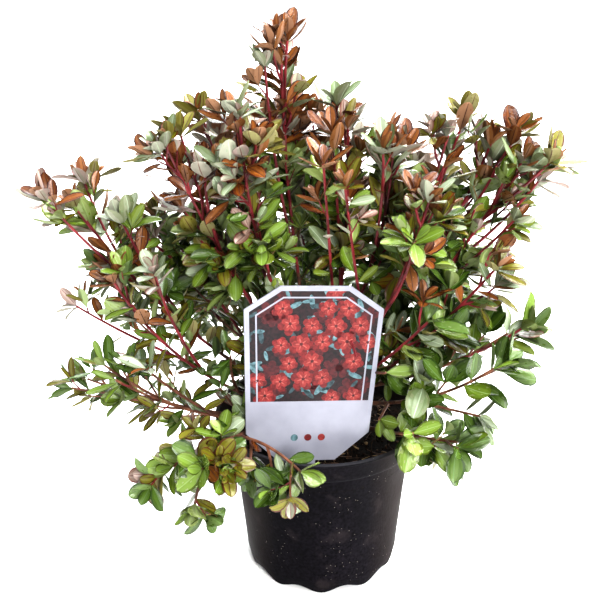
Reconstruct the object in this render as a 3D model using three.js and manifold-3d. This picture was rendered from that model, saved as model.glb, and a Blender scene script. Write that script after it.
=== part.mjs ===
// A dwarf evergreen azalea in a black nursery pot, with a plant label stood in the soil.
// Millimetres, +Z up. The pot stands on the XY plane and its axis is the Z axis; the front is -Y.
import * as THREE from "three";
import { mergeVertices } from "three/addons/utils/BufferGeometryUtils.js";
import Module from "manifold-3d";

const wasm = await Module();
wasm.setup();

const gap = 0.3; // between pieces that touch
const roundSides = 30; // of the pot and the soil in it

const pot = {
  height: 120,
  lipRadius: 75,
  lipHeight: 2.6,
  lipEase: 0.6, // how far the lip's edges are eased
  baseRadius: 52.6,
  collarRadius: 73.2,
  collarFootRadius: 69.6,
  collarHeight: 16,
  // outer radius of the body at heights up to the collar's foot
  body: [
    [0, 52.6],
    [6, 54.4],
    [12, 55.3],
    [45, 58.2],
    [85, 62.4],
    [103, 65.6],
  ],
  wall: 1.5,
  floorRise: 4,
  footRing: 3, // width of the ring that it stands on, under the wall
  discRadius: 18, // of the flat place at the middle of the underside
  ease: 1, // of the ring's and the disc's sides
  footCount: 10,
  notchWidth: 17, // between two feet
  notchHeight: 3.6,
  notchDepth: 8,
  notchSides: 8,
};
const soil = {
  edgeHeight: 105,
  crownHeight: 108,
  flatRadius: 14,
  // radius and height of the heap's slope
  slope: [
    [50, 105.4],
    [32, 107.2],
  ],
};
const label = {
  width: 90,
  footWidth: 82,
  height: 121.5,
  topEdge: 45,
  bottomEdge: 38,
  shoulder: 15.5,
  toe: 20,
  thickness: 0.8,
  stakeWidth: 12,
  stakeLength: 28,
  stakePoint: 6, // length of the stake's pointed end
  stakeTip: 0.4, // its width, as a share of the stake's
  leanDeg: 4.5,
  yawDeg: 9.7,
  rollDeg: 4,
  foot: new THREE.Vector3(-9.7, -53, 110.7),
};
const trunk = {
  sides: 10,
  height: 16,
  domeHeight: 4,
  footRadius: 11,
  flareRadius: 8,
  flareShare: 0.2, // of the height
  neckRadius: 7,
  neckShare: 0.5,
  topRadius: 6.2,
  arm: 7, // how far the arms that carry the boughs stand out
  armSwell: 1.2,
};
const limb = {
  sides: 5,
  steps: 3,
  trunkEndRadius: 2.6,
  forkEndRadius: 2.2,
  massEndRadius: 1.7,
  tipRadius: 0.8,
};
const stem = { sides: 4, steps: 6, lineSteps: 12 };
// Cores fill only the dense inside of the crown, an upright egg round its middle.
const core = {
  radius: 13,
  endShare: 0.9,
  crownRadius: 118,
  crownMiddle: 195,
  crownHalfHeight: 135,
  taper: 50,
};
const leaf = { length: 35, width: 17, widest: 0.58, cup: 0.6, keel: 0.7 };
const tipRosette = { leaves: 5, angle: 46, size: 0.72, share: 0.99 };
const twigRosette = { leaves: 2, angle: 52, size: 0.95, share: 0.96 };
const rosette = {
  innerTilt: -10, // every other leaf stands up more than its neighbours
  outerTilt: 14,
  tiltSpread: 6,
  turnSpread: 12,
  sizeSpread: 0.12,
  faceUp: 0.35,
};
const stemLeaf = {
  spacing: 14,
  firstShare: 0.03, // past the bare part
  lastShare: 0.93,
  shareSpread: 0.02,
  angle: 66, // to the stem
  angleSpread: 10,
  smallest: 0.95,
  sizeRange: 0.25,
  turnFrom: 60, // from where the twigs start to turn
  sunk: 2,
};
const twig = {
  spacing: 20,
  length: 34,
  shortest: 0.55, // length of the topmost one, as a share
  lengthSpread: 0.15,
  radius: 1,
  tipShare: 0.7, // radius at its tip, as a share
  sides: 3,
  firstShare: 0.12,
  lastShare: 0.84,
  angle: 50, // to the stem
  angleSpread: 8,
  turnSpread: 15,
  rise: 0.25,
  hang: -0.5,
  hangsBelow: 135, // the tip's height under which a shoot's twigs hang
};
const growth = {
  goldenTurn: 137.5,
  margin: 0.7, // clear of the next mass's space, on each side
  limbClear: 1.2,
  labelClear: 5,
  soilClear: 6,
  rimClear: 15,
  reach: 58.5, // of a mass from its stem
  tries: 4,
  leafRetryTurn: 115,
  twigRetryTurn: 125,
  shrink: 0.86, // of a leaf or twig at each further try
};

// One shoot a line: what it forks from and at what share of its bare part, where its curve ends (turn in
// degrees from +X, out from the axis, up from the ground), how far its middle sags out, and its bare share.
const shoots = [
  { name: "leader", from: "trunk", fork: 1, turn: 180, out: 24, up: 374, sag: 6, bare: 0.4 },
  { name: "front_leader", from: "leader", fork: 0.35, turn: 226, out: 67, up: 340, sag: 14, bare: 0.35 },
  { name: "high_left", from: "trunk", fork: 0.9, turn: 197, out: 98, up: 317, sag: 5, bare: 0.4 },
  { name: "high_left_back", from: "high_left", fork: 0.5, turn: 165, out: 83, up: 323, sag: -6, bare: 0.3 },
  { name: "left", from: "trunk", fork: 0.6, turn: 182, out: 159, up: 272, sag: 16, bare: 0.4 },
  { name: "left_middle", from: "left", fork: 0.5, turn: 164, out: 126, up: 244, sag: -10, bare: 0.3 },
  { name: "left_front", from: "trunk", fork: 0.5, turn: 199, out: 137, up: 235, sag: 20, bare: 0.42 },
  { name: "low_left", from: "trunk", fork: 0.3, turn: 204, out: 143, up: 173, sag: 13, bare: 0.48 },
  { name: "low_left_back", from: "low_left", fork: 0.35, turn: 184, out: 162, up: 149, sag: 6, bare: 0.42 },
  { name: "front_left", from: "trunk", fork: 0.3, turn: 226, out: 131, up: 132, sag: -7, bare: 0.64 },
  { name: "front", from: "front_left", fork: 0.97, turn: 263, out: 98, up: 130, sag: -6, bare: 0.2 },
  { name: "right", from: "trunk", fork: 0.8, turn: 356, out: 127, up: 303, sag: 7, bare: 0.4 },
  { name: "right_high", from: "right", fork: 0.7, turn: 8, out: 111, up: 307, sag: 4, bare: 0.25 },
  { name: "high_right", from: "right", fork: 0.4, turn: 4, out: 81, up: 315, sag: 4, bare: 0.3 },
  { name: "front_right", from: "trunk", fork: 0.9, turn: 320, out: 84, up: 291, sag: 9, bare: 0.4 },
  { name: "front_low", from: "front_right", fork: 0.2, turn: 316, out: 91, up: 216, sag: 3, bare: 0.45 },
  { name: "right_middle", from: "trunk", fork: 0.5, turn: 336, out: 118, up: 246, sag: 6, bare: 0.4 },
  { name: "right_side", from: "right_middle", fork: 0.6, turn: 347, out: 125, up: 192, sag: 6, bare: 0.3 },
  { name: "right_front", from: "right_middle", fork: 0.3, turn: 328, out: 126, up: 186, sag: 10, bare: 0.4 },
  { name: "low_right", from: "trunk", fork: 0.3, turn: 320, out: 113, up: 137, sag: 2, bare: 0.55 },
  { name: "centre", from: "trunk", fork: 1, turn: 340, out: 18, up: 322, sag: 6, bare: 0.4 },
  { name: "centre_right", from: "centre", fork: 0.5, turn: 350, out: 46, up: 306, sag: 8, bare: 0.3 },
  { name: "back_high", from: "trunk", fork: 0.9, turn: 95, out: 64, up: 314, sag: 8, bare: 0.4 },
  { name: "back_low", from: "back_high", fork: 0.35, turn: 92, out: 126, up: 212, sag: 8, bare: 0.4 },
  { name: "back_left", from: "trunk", fork: 0.7, turn: 136, out: 119, up: 274, sag: 10, bare: 0.4 },
  { name: "back_left_low", from: "back_left", fork: 0.4, turn: 140, out: 148, up: 187, sag: 10, bare: 0.42 },
  { name: "back_right", from: "trunk", fork: 0.7, turn: 52, out: 121, up: 270, sag: 10, bare: 0.4 },
  { name: "back_right_low", from: "back_right", fork: 0.4, turn: 40, out: 147, up: 192, sag: 10, bare: 0.42 },
];

// Random numbers

function stream(...keys) {
  let state = 20261;
  for (const key of keys) state = (state * 16807 + key * 7919 + 101) % 2147483647;
  const next = () => {
    state = (state * 16807) % 2147483647;
    return state / 2147483647;
  };
  for (let i = 0; i < 3; i++) next();
  return next;
}

const spread = (random, most) => (random() * 2 - 1) * most;
const radians = THREE.MathUtils.degToRad;
const mix = THREE.MathUtils.lerp;
const upwards = new THREE.Vector3(0, 0, 1);

// Solids

function toSolid(geometry) {
  geometry.deleteAttribute("normal");
  geometry.deleteAttribute("uv");
  const merged = mergeVertices(geometry, 1e-4);
  return new wasm.Manifold(
    new wasm.Mesh({
      numProp: 3,
      vertProperties: new Float32Array(merged.attributes.position.array),
      triVerts: new Uint32Array(merged.index.array),
    }),
  );
}

function toGeometry(solid) {
  const mesh = solid.getMesh();
  const positions = new Float32Array(mesh.numVert * 3);
  for (let i = 0; i < mesh.numVert; i++) {
    positions.set(mesh.vertProperties.subarray(i * mesh.numProp, i * mesh.numProp + 3), i * 3);
  }
  const geometry = new THREE.BufferGeometry();
  geometry.setAttribute("position", new THREE.BufferAttribute(positions, 3));
  geometry.setIndex(new THREE.BufferAttribute(mesh.triVerts, 1));
  return geometry;
}

function largestBody(solid) {
  return solid.decompose().reduce((a, b) => (b.volume() > a.volume() ? b : a));
}

// A profile of radii and heights turned round the Z axis.
function turned(profile, sides) {
  const points = profile.map(([r, z]) => new THREE.Vector2(r, z));
  return toSolid(new THREE.LatheGeometry(points, sides).rotateX(Math.PI / 2));
}

function meshOf(points, index) {
  const geometry = new THREE.BufferGeometry();
  geometry.setAttribute("position", new THREE.Float32BufferAttribute(points, 3));
  geometry.setIndex(index);
  return geometry;
}

// The direction that stays square to the whole of a plane curve.
function bendAxis(curve) {
  const first = curve.getTangent(0);
  const square = new THREE.Vector3().crossVectors(first, curve.getTangent(1));
  const straight = square.length() < 1e-3;
  if (!straight) return square.normalize();
  const other = Math.abs(first.z) > 0.9 ? new THREE.Vector3(1, 0, 0) : upwards;
  return square.crossVectors(first, other).normalize();
}

// A limb: rings of points along a plane curve between two shares of it, as thick as radiusAt says.
function limbAlong(curve, start, end, radiusAt, sides, steps) {
  const across = bendAxis(curve);
  const points = [];
  const index = [];
  for (let i = 0; i <= steps; i++) {
    const t = mix(start, end, i / steps);
    const side = new THREE.Vector3().crossVectors(curve.getTangent(t), across);
    const radius = radiusAt(t, i / steps);
    for (let j = 0; j < sides; j++) {
      const turn = (2 * Math.PI * j) / sides;
      const point = curve
        .getPoint(t)
        .addScaledVector(side, radius * Math.cos(turn))
        .addScaledVector(across, radius * Math.sin(turn));
      points.push(point.x, point.y, point.z);
    }
  }
  for (let i = 0; i < steps; i++) {
    for (let j = 0; j < sides; j++) {
      const here = i * sides + j;
      const beside = i * sides + ((j + 1) % sides);
      index.push(here, here + sides, beside + sides, here, beside + sides, beside);
    }
  }
  const last = steps * sides;
  for (let j = 1; j < sides - 1; j++) index.push(0, j, j + 1, last, last + j + 1, last + j);
  return toSolid(meshOf(points, index));
}

function taperedLimb(curve, start, end, startRadius, endRadius, sides, steps) {
  const radiusAt = (t, share) => mix(startRadius, endRadius, share);
  return limbAlong(curve, start, end, radiusAt, sides, steps);
}

// Pot

const collarFoot = pot.height - pot.collarHeight;
const straightBody = pot.body.slice(2); // above the rounded foot

function bodyRadiusAt(z) {
  const next = pot.body.findIndex(([height]) => height >= z);
  const above = pot.body[Math.max(next, 1)];
  const below = pot.body[Math.max(next, 1) - 1];
  return mix(below[1], above[1], (z - below[0]) / (above[0] - below[0]));
}

function makePot() {
  const { height, wall, floorRise, discRadius, baseRadius, footRing, ease } = pot;
  const { lipRadius, lipHeight, lipEase } = pot;
  const floorTop = floorRise + wall;
  const inside = straightBody.toReversed().map(([z, r]) => [r - wall, z]);
  let solid = turned(
    [
      [0, 0],
      [discRadius, 0],
      [discRadius + ease, floorRise],
      [baseRadius - footRing, floorRise],
      [baseRadius - footRing + ease, 0],
      ...pot.body.map(([z, r]) => [r, z]),
      [pot.collarFootRadius, collarFoot],
      [pot.collarRadius, height - lipHeight],
      [lipRadius, height - lipHeight + lipEase],
      [lipRadius, height - lipEase],
      [lipRadius - lipEase, height],
      [pot.collarRadius - wall, height],
      [pot.collarFootRadius - wall, collarFoot],
      ...inside,
      [bodyRadiusAt(floorTop) - wall, floorTop],
      [0, floorTop],
    ],
    roundSides,
  );
  for (let i = 0; i < pot.footCount; i++) {
    const notch = new THREE.CylinderGeometry(1, 1, pot.notchDepth, pot.notchSides, 1);
    notch.scale(pot.notchWidth / 2, 1, pot.notchHeight);
    notch.translate(0, baseRadius, 0);
    notch.rotateZ(((i + 0.5) * 2 * Math.PI) / pot.footCount);
    solid = solid.subtract(toSolid(notch));
  }
  return largestBody(solid);
}

// Label

const labelPlace = new THREE.Matrix4()
  .makeTranslation(label.foot)
  .multiply(new THREE.Matrix4().makeRotationZ(radians(label.yawDeg)))
  .multiply(new THREE.Matrix4().makeRotationX(-radians(label.leanDeg)))
  .multiply(new THREE.Matrix4().makeRotationY(radians(label.rollDeg)));
const fromLabel = labelPlace.clone().invert();

// Plate and stake in their place, grown on every side.
function labelSolid(grow) {
  const stakeHalf = label.stakeWidth / 2 + grow;
  const stakeFoot = -label.stakeLength - grow;
  const half = [
    [0, stakeFoot],
    [stakeHalf * label.stakeTip, stakeFoot],
    [stakeHalf, stakeFoot + label.stakePoint],
    [stakeHalf, -grow],
    [label.bottomEdge / 2 + grow, -grow],
    [label.footWidth / 2 + grow, label.toe],
    [label.width / 2 + grow, label.height - label.shoulder],
    [label.topEdge / 2 + grow, label.height + grow],
  ];
  const otherHalf = half.slice(1).reverse().map(([x, z]) => [-x, z]);
  const outline = new THREE.Shape([...half, ...otherHalf].map(([x, z]) => new THREE.Vector2(x, z)));
  const depth = label.thickness + 2 * grow;
  const plate = new THREE.ExtrudeGeometry(outline, { depth, bevelEnabled: false });
  plate.translate(0, 0, -depth / 2).rotateX(Math.PI / 2);
  return toSolid(plate.applyMatrix4(labelPlace));
}

// Soil, up into the collar, with a slot for the label's stake

function makeSoil() {
  const clear = pot.wall + gap;
  const floorTop = pot.floorRise + clear;
  const edgeRadius = pot.body.at(-1)[1] - clear;
  const heap = turned(
    [
      [0, floorTop],
      [bodyRadiusAt(floorTop) - clear, floorTop],
      ...straightBody.map(([z, r]) => [r - clear, z]),
      [edgeRadius, soil.edgeHeight],
      ...soil.slope,
      [soil.flatRadius, soil.crownHeight],
      [0, soil.crownHeight],
    ],
    roundSides,
  );
  return largestBody(heap.subtract(labelSolid(gap)));
}

// Shoots: each is one plane curve from its fork to its tip, shared out between arm, bough and mass.

const trunkFoot = soil.crownHeight + gap;

// A curve between two points whose middle sags down and out, in the upright plane of its turn.
function saggingCurve(start, tip, turn, sag) {
  const chord = tip.clone().sub(start);
  const rise = Math.atan2(chord.z, Math.hypot(chord.x, chord.y));
  const outwards = new THREE.Vector3(Math.cos(turn), Math.sin(turn), 0);
  const middle = start
    .clone()
    .lerp(tip, 0.5)
    .addScaledVector(outwards, 2 * sag * Math.sin(rise))
    .addScaledVector(upwards, -2 * sag * Math.cos(rise));
  return new THREE.QuadraticBezierCurve3(start, middle, tip);
}

function growShoots() {
  const grown = new Map();
  for (const [index, row] of shoots.entries()) {
    const onTrunk = row.from === "trunk";
    const parent = grown.get(row.from);
    const start = onTrunk
      ? new THREE.Vector3(0, 0, trunkFoot + trunk.height * row.fork)
      : parent.curve.getPoint(parent.bare * row.fork);
    const turn = radians(row.turn);
    const tip = new THREE.Vector3(row.out * Math.cos(turn), row.out * Math.sin(turn), row.up);
    const curve = saggingCurve(start, tip, turn, row.sag);
    const length = curve.getLength();
    const startShare = onTrunk ? (trunk.topRadius + trunk.arm) / length : 0;
    const radius = onTrunk ? limb.trunkEndRadius : limb.forkEndRadius;
    const line = Array.from({ length: stem.lineSteps + 1 }, (_, i) => curve.getPoint(i / stem.lineSteps));
    const lineBare = Math.floor(row.bare * stem.lineSteps);
    grown.set(row.name, { ...row, index, onTrunk, curve, length, startShare, radius, line, lineBare });
  }
  return grown;
}

const grown = growShoots();

function makeTrunk() {
  let solid = turned(
    [
      [0, trunkFoot],
      [trunk.footRadius, trunkFoot],
      [trunk.flareRadius, trunkFoot + trunk.height * trunk.flareShare],
      [trunk.neckRadius, trunkFoot + trunk.height * trunk.neckShare],
      [trunk.topRadius, trunkFoot + trunk.height],
      [0, trunkFoot + trunk.height + trunk.domeHeight],
    ],
    trunk.sides,
  );
  for (const { onTrunk, curve, startShare, radius } of grown.values()) {
    if (!onTrunk) continue;
    const swollen = radius * trunk.armSwell;
    solid = solid.add(taperedLimb(curve, 0, startShare, swollen, radius, limb.sides, 1));
  }
  return solid;
}

function boughLimb(shoot, grow) {
  const start = shoot.startShare + (shoot.onTrunk ? gap / shoot.length : 0);
  const endRadius = limb.massEndRadius + grow;
  return taperedLimb(shoot.curve, start, shoot.bare, shoot.radius + grow, endRadius, limb.sides, limb.steps);
}

function makeBough(shoot) {
  const whole = boughLimb(shoot, 0);
  if (shoot.onTrunk) return whole;
  const clear = gap / Math.cos(Math.PI / limb.sides); // off the parent's flats as well as its edges
  return largestBody(whole.subtract(boughLimb(grown.get(shoot.from), clear)));
}

// Foliage

// How far a point is from a shoot's line, between two of the points along it.
function distanceTo(shoot, point, from, to) {
  let nearest = Infinity;
  const onLine = new THREE.Vector3();
  for (let i = from; i < to; i++) {
    const piece = new THREE.Line3(shoot.line[i], shoot.line[i + 1]);
    piece.closestPointToPoint(point, true, onLine);
    nearest = Math.min(nearest, onLine.distanceTo(point));
  }
  return nearest;
}

const boughDistance = (shoot, point) => distanceTo(shoot, point, 0, shoot.lineBare + 1);
const stemDistance = (shoot, point) => distanceTo(shoot, point, shoot.lineBare, stem.lineSteps);

function potDistance(point) {
  const out = Math.hypot(point.x, point.y);
  const inMouth = point.z < pot.height && out < pot.lipRadius;
  if (inMouth) {
    const overSoil = point.z - soil.crownHeight - growth.soilClear;
    return Math.min(overSoil, pot.lipRadius - growth.rimClear - out);
  }
  return Math.hypot(Math.max(out - pot.lipRadius, 0), Math.max(point.z - pot.height, 0));
}

// Only the shoot that leans over the rim grows in front of the label, below its foot: the room before the
// plate, and the room that the plate's foot is seen through from above, count as taken.
function labelDistance(point) {
  const seenSlope = 0.45;
  const footRoom = 8;
  const local = point.clone().applyMatrix4(fromLabel);
  const aside = Math.max(Math.abs(local.x) - label.width / 2, 0);
  const seenHeight = local.z + seenSlope * Math.min(local.y, 0);
  const before = local.y < 0 && seenHeight > footRoom;
  return Math.hypot(before ? 0 : local.y, aside, Math.max(seenHeight - label.height, 0));
}

const stillDistance = (point) => Math.min(potDistance(point), labelDistance(point) - growth.labelClear);

// Whether a point is in a mass's own space: nearer to its stem than to the others', and clear of the rest.
function isOwn(shoot, point) {
  const own = stemDistance(shoot, point);
  if (own > growth.reach || stillDistance(point) < growth.limbClear) return false;
  for (const other of grown.values()) {
    if (boughDistance(other, point) < limb.trunkEndRadius + growth.limbClear) return false;
    if (other !== shoot && stemDistance(other, point) < own + growth.margin * 2) return false;
  }
  return true;
}

// How thick the core can be there without leaving the mass's space.
function roomAt(shoot, point) {
  const out = Math.hypot(point.x, point.y) / core.crownRadius;
  const within = 1 - Math.hypot(out, (point.z - core.crownMiddle) / core.crownHalfHeight);
  let room = Math.min(stillDistance(point) - growth.limbClear, within * core.taper);
  for (const other of grown.values()) {
    if (other === shoot) continue;
    const fromBough = boughDistance(other, point) - limb.trunkEndRadius - growth.limbClear;
    room = Math.min(room, fromBough, stemDistance(other, point) / 2 - growth.margin);
  }
  return room;
}

// The stem of a mass, swollen into the mass's core where there is room.
function stemRadiusAt(shoot, t) {
  const bareStem = mix(limb.massEndRadius, limb.tipRadius, (t - shoot.bare) / (1 - shoot.bare));
  const share = (t - shoot.bare) / (core.endShare - shoot.bare);
  if (share <= 0 || share >= 1) return bareStem;
  const swollen = core.radius * Math.sqrt(Math.sin(Math.PI * share));
  return Math.max(bareStem, Math.min(swollen, roomAt(shoot, shoot.curve.getPoint(t))));
}

// The direction that leaves a limb at an angle to it, turned round it from its side.
function outFrom(along, turn, angle) {
  const side = new THREE.Vector3().crossVectors(along, upwards);
  const upright = side.length() < 0.1;
  if (upright) side.set(1, 0, 0);
  side.normalize().applyAxisAngle(along, radians(turn));
  return along
    .clone()
    .multiplyScalar(Math.cos(radians(angle)))
    .addScaledVector(side, Math.sin(radians(angle)));
}

// The frame of a leaf: along it, square across it and out of its upper face.
function leafFrame(root, along, face) {
  const across = new THREE.Vector3().crossVectors(face, along).normalize();
  const top = new THREE.Vector3().crossVectors(along, across).normalize();
  return new THREE.Matrix4().makeBasis(along, across, top).setPosition(root);
}

// A leaf is a shallow boat: its root, its tip, two raised sides and a keel under its widest place.
function leafGeometry(size) {
  const length = leaf.length * size;
  const half = (leaf.width * size) / 2;
  const widest = leaf.widest * length;
  const sides = [widest, half, leaf.cup, widest, -half, leaf.cup];
  const points = [0, 0, 0, length, 0, 0, ...sides, widest, 0, -leaf.keel];
  return meshOf(points, [0, 3, 2, 1, 2, 3, 0, 2, 4, 0, 4, 3, 1, 4, 2, 1, 3, 4]);
}

// Places on a leaf and just off it that have to be in its mass's space, as shares of its length and width
const leafChecks = [
  [0.2, 0],
  [0.58, 0],
  [0.85, 0],
  [0.35, 0.25],
  [0.35, -0.25],
  [0.58, 0.55],
  [0.58, -0.55],
  [0.8, 0.3],
  [0.8, -0.3],
  [1.05, 0],
];
const twigChecks = [0.15, 0.3, 0.5, 0.75, 1];

// A mass while it grows: its shoot, and the leaves and twigs that its space has room for.
class Mass {
  constructor(shoot) {
    this.shoot = shoot;
    this.pieces = [];
  }

  addLeaf(root, along, face, size) {
    const frame = leafFrame(root, along, face);
    const clear = leafChecks.every(([x, y]) => {
      const point = new THREE.Vector3(x * leaf.length * size, y * leaf.width * size, 0);
      return isOwn(this.shoot, point.applyMatrix4(frame));
    });
    if (clear) this.pieces.push(toSolid(leafGeometry(size).applyMatrix4(frame)));
    return clear;
  }

  addRosette(root, along, { leaves, angle, size }, random) {
    const firstTurn = random() * 360;
    const face = along.clone().addScaledVector(upwards, rosette.faceUp);
    for (let i = 0; i < leaves; i++) {
      const turn = firstTurn + (i * 360) / leaves + spread(random, rosette.turnSpread);
      const tilt = (i % 2 ? rosette.outerTilt : rosette.innerTilt) + spread(random, rosette.tiltSpread);
      const way = outFrom(along, turn, angle + tilt);
      this.addLeaf(root, way, face, size * (1 + spread(random, rosette.sizeSpread)));
    }
  }

  addTwig(root, way, length, random) {
    const tip = root.clone().addScaledVector(way, length);
    const clear = twigChecks.every((share) => isOwn(this.shoot, root.clone().lerp(tip, share)));
    if (!clear) return false;
    const line = new THREE.QuadraticBezierCurve3(root, root.clone().lerp(tip, 0.5), tip);
    this.pieces.push(taperedLimb(line, 0, 1, twig.radius, twig.radius * twig.tipShare, twig.sides, 1));
    this.addRosette(line.getPoint(twigRosette.share), way, twigRosette, random);
    return true;
  }

  addStemLeaves(firstTurn, random) {
    const { curve, bare, length } = this.shoot;
    const count = Math.round(((stemLeaf.lastShare - bare) * length) / stemLeaf.spacing);
    for (let i = 0; i < count; i++) {
      const evenly = mix(bare + stemLeaf.firstShare, stemLeaf.lastShare, (i + 0.5) / count);
      const t = evenly + spread(random, stemLeaf.shareSpread);
      const along = curve.getTangent(t);
      const size = stemLeaf.smallest + random() * stemLeaf.sizeRange;
      const angle = stemLeaf.angle + spread(random, stemLeaf.angleSpread);
      const flat = stemRadiusAt(this.shoot, t) * Math.cos(Math.PI / stem.sides);
      const depth = Math.max(flat - stemLeaf.sunk, 0);
      for (let tries = 0; tries < growth.tries; tries++) {
        const turn = firstTurn + stemLeaf.turnFrom + i * growth.goldenTurn + tries * growth.leafRetryTurn;
        const way = outFrom(along, turn, angle);
        const root = curve.getPoint(t).addScaledVector(way, depth);
        if (this.addLeaf(root, way, along, size * growth.shrink ** tries)) break;
      }
    }
  }

  addTwigs(firstTurn) {
    const { index, curve, bare, length, up } = this.shoot;
    const lift = up < twig.hangsBelow ? twig.hang : twig.rise;
    const count = Math.round(((1 - bare) * length) / twig.spacing);
    for (let i = 0; i < count; i++) {
      const random = stream(index, 2, i);
      const rank = i / Math.max(count - 1, 1);
      const t = mix(bare, 1, mix(twig.firstShare, twig.lastShare, rank));
      const full = twig.length * mix(1, twig.shortest, rank) * (1 + spread(random, twig.lengthSpread));
      for (let tries = 0; tries < growth.tries; tries++) {
        const evenTurn = firstTurn + i * growth.goldenTurn + tries * growth.twigRetryTurn;
        const turn = evenTurn + spread(random, twig.turnSpread);
        const way = outFrom(curve.getTangent(t), turn, twig.angle + spread(random, twig.angleSpread));
        way.addScaledVector(upwards, lift).normalize();
        if (this.addTwig(curve.getPoint(t), way, full * growth.shrink ** tries, random)) break;
      }
    }
  }

  fused() {
    const { curve, bare, length } = this.shoot;
    const radiusAt = (t) => stemRadiusAt(this.shoot, t);
    const start = bare + gap / length;
    const solid = limbAlong(curve, start, 1, radiusAt, stem.sides, stem.steps);
    return largestBody(this.pieces.reduce((whole, piece) => whole.add(piece), solid));
  }
}

function makeMass(shoot) {
  const { index, curve } = shoot;
  const mass = new Mass(shoot);
  const random = stream(index, 1);
  mass.addRosette(curve.getPoint(tipRosette.share), curve.getTangent(1), tipRosette, random);
  const firstTurn = random() * 360;
  mass.addStemLeaves(firstTurn, random);
  mass.addTwigs(firstTurn);
  return mass.fused();
}

// The assembly

const finishes = {
  pot: { color: 0x232124, roughness: 0.55 },
  soil: { color: 0x1d1510, roughness: 1 },
  bark: { color: 0x6b3a2c, roughness: 0.8 },
  redBark: { color: 0x8a3434, roughness: 0.6 },
  foliage: { color: 0x587a35, roughness: 0.5 },
  label: { color: 0xe6e8f0, roughness: 0.35 },
};

function named(name, solid, finish) {
  const material = new THREE.MeshStandardMaterial({ ...finishes[finish], metalness: 0 });
  const mesh = new THREE.Mesh(toGeometry(solid), material);
  mesh.name = name;
  return mesh;
}

const azalea = new THREE.Group();
azalea.add(named("pot", makePot(), "pot"));
azalea.add(named("soil", makeSoil(), "soil"));
azalea.add(named("label", labelSolid(0), "label"));
azalea.add(named("trunk", makeTrunk(), "bark"));
for (const shoot of grown.values()) {
  azalea.add(named(`bough_${shoot.name}`, makeBough(shoot), "redBark"));
  azalea.add(named(`mass_${shoot.name}`, makeMass(shoot), "foliage"));
}

export default azalea;
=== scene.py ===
# Potted azalea: pot, peat, label, bark, red shoots and leaves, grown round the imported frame
import math
import time

import bpy
import numpy as np
from mathutils import Matrix, Vector


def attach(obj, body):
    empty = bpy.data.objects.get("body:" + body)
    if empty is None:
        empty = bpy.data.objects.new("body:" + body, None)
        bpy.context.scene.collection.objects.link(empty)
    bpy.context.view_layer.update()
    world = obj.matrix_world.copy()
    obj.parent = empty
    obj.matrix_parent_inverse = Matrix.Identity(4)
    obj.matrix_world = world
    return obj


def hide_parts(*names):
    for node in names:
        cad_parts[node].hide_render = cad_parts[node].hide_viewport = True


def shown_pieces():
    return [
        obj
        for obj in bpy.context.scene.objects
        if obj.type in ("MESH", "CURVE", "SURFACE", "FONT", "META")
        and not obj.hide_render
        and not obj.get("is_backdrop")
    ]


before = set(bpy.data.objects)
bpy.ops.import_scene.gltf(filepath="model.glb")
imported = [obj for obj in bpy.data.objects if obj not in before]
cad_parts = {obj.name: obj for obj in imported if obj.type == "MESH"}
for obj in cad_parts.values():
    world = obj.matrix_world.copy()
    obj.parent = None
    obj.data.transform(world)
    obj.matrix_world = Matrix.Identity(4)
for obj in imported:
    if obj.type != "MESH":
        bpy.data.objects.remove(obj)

mm = 0.001
startTime = time.time()
bpy.context.view_layer.update()


def report(stage):
    print(f"azalea: {stage} after {time.time() - startTime:.1f} s")


def deselectAll():
    if bpy.context.mode != "OBJECT":
        bpy.ops.object.mode_set(mode="OBJECT")
    bpy.ops.object.select_all(action="DESELECT")


def selectOnly(piece):
    deselectAll()
    piece.select_set(True)
    bpy.context.view_layer.objects.active = piece


def takePrimitive(name):
    # The primitive just added gets its name, and its place goes into its mesh
    piece = bpy.context.object
    piece.name = name
    bpy.ops.object.transform_apply()
    return piece


def newMaterial(name, roughness, specular=0.5):
    material = bpy.data.materials.new(name)
    material.use_nodes = True
    shader = material.node_tree.nodes["Principled BSDF"]
    shader.inputs["Roughness"].default_value = roughness
    shader.inputs["Specular IOR Level"].default_value = specular
    return material, material.node_tree, shader


deselectAll()

# Camera, lights and floor
photoCamera = {
    "frame": 600,  # pixels on a side
    "focal": 985,  # pixels
    "sensor": 36,  # millimetres
    "place": (0.0036, -0.612, 0.467),
    "pitch": 23.28,  # degrees below level
    "yaw": 1.67,
    "roll": -0.64,
    "nearest": 0.01,
    "exposure": 0.45,
    "gamma": 0.8,  # below 1 for the photo's deep shade and clear lights
}
studio = {
    "floorSize": 14.0,
    "floorColor": (0.84, 0.84, 0.84),
    "floorRoughness": 0.8,
    "worldColor": (1.0, 1.0, 1.0),
    "worldStrength": 0.74,
    "aim": (0, 0, 0.2),
    # name, place, size, power in watts, colour
    "lamps": [
        ("overheadLamp", (1.0, 0.3, 4.0), 8.0, 200, (1.0, 1.0, 1.0)),
        ("keyLamp", (-0.45, -0.55, 1.6), 0.45, 5, (1.0, 0.985, 0.96)),
        ("frontLamp", (0.5, -1.4, 1.0), 0.5, 33, (1.0, 0.995, 0.99)),
        ("topLamp", (0.75, 0.05, 1.45), 0.8, 44, (1.0, 1.0, 1.0)),
        ("backLamp", (0.2, 1.9, 1.45), 2.0, 95, (0.95, 0.98, 1.0)),
    ],
}


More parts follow.
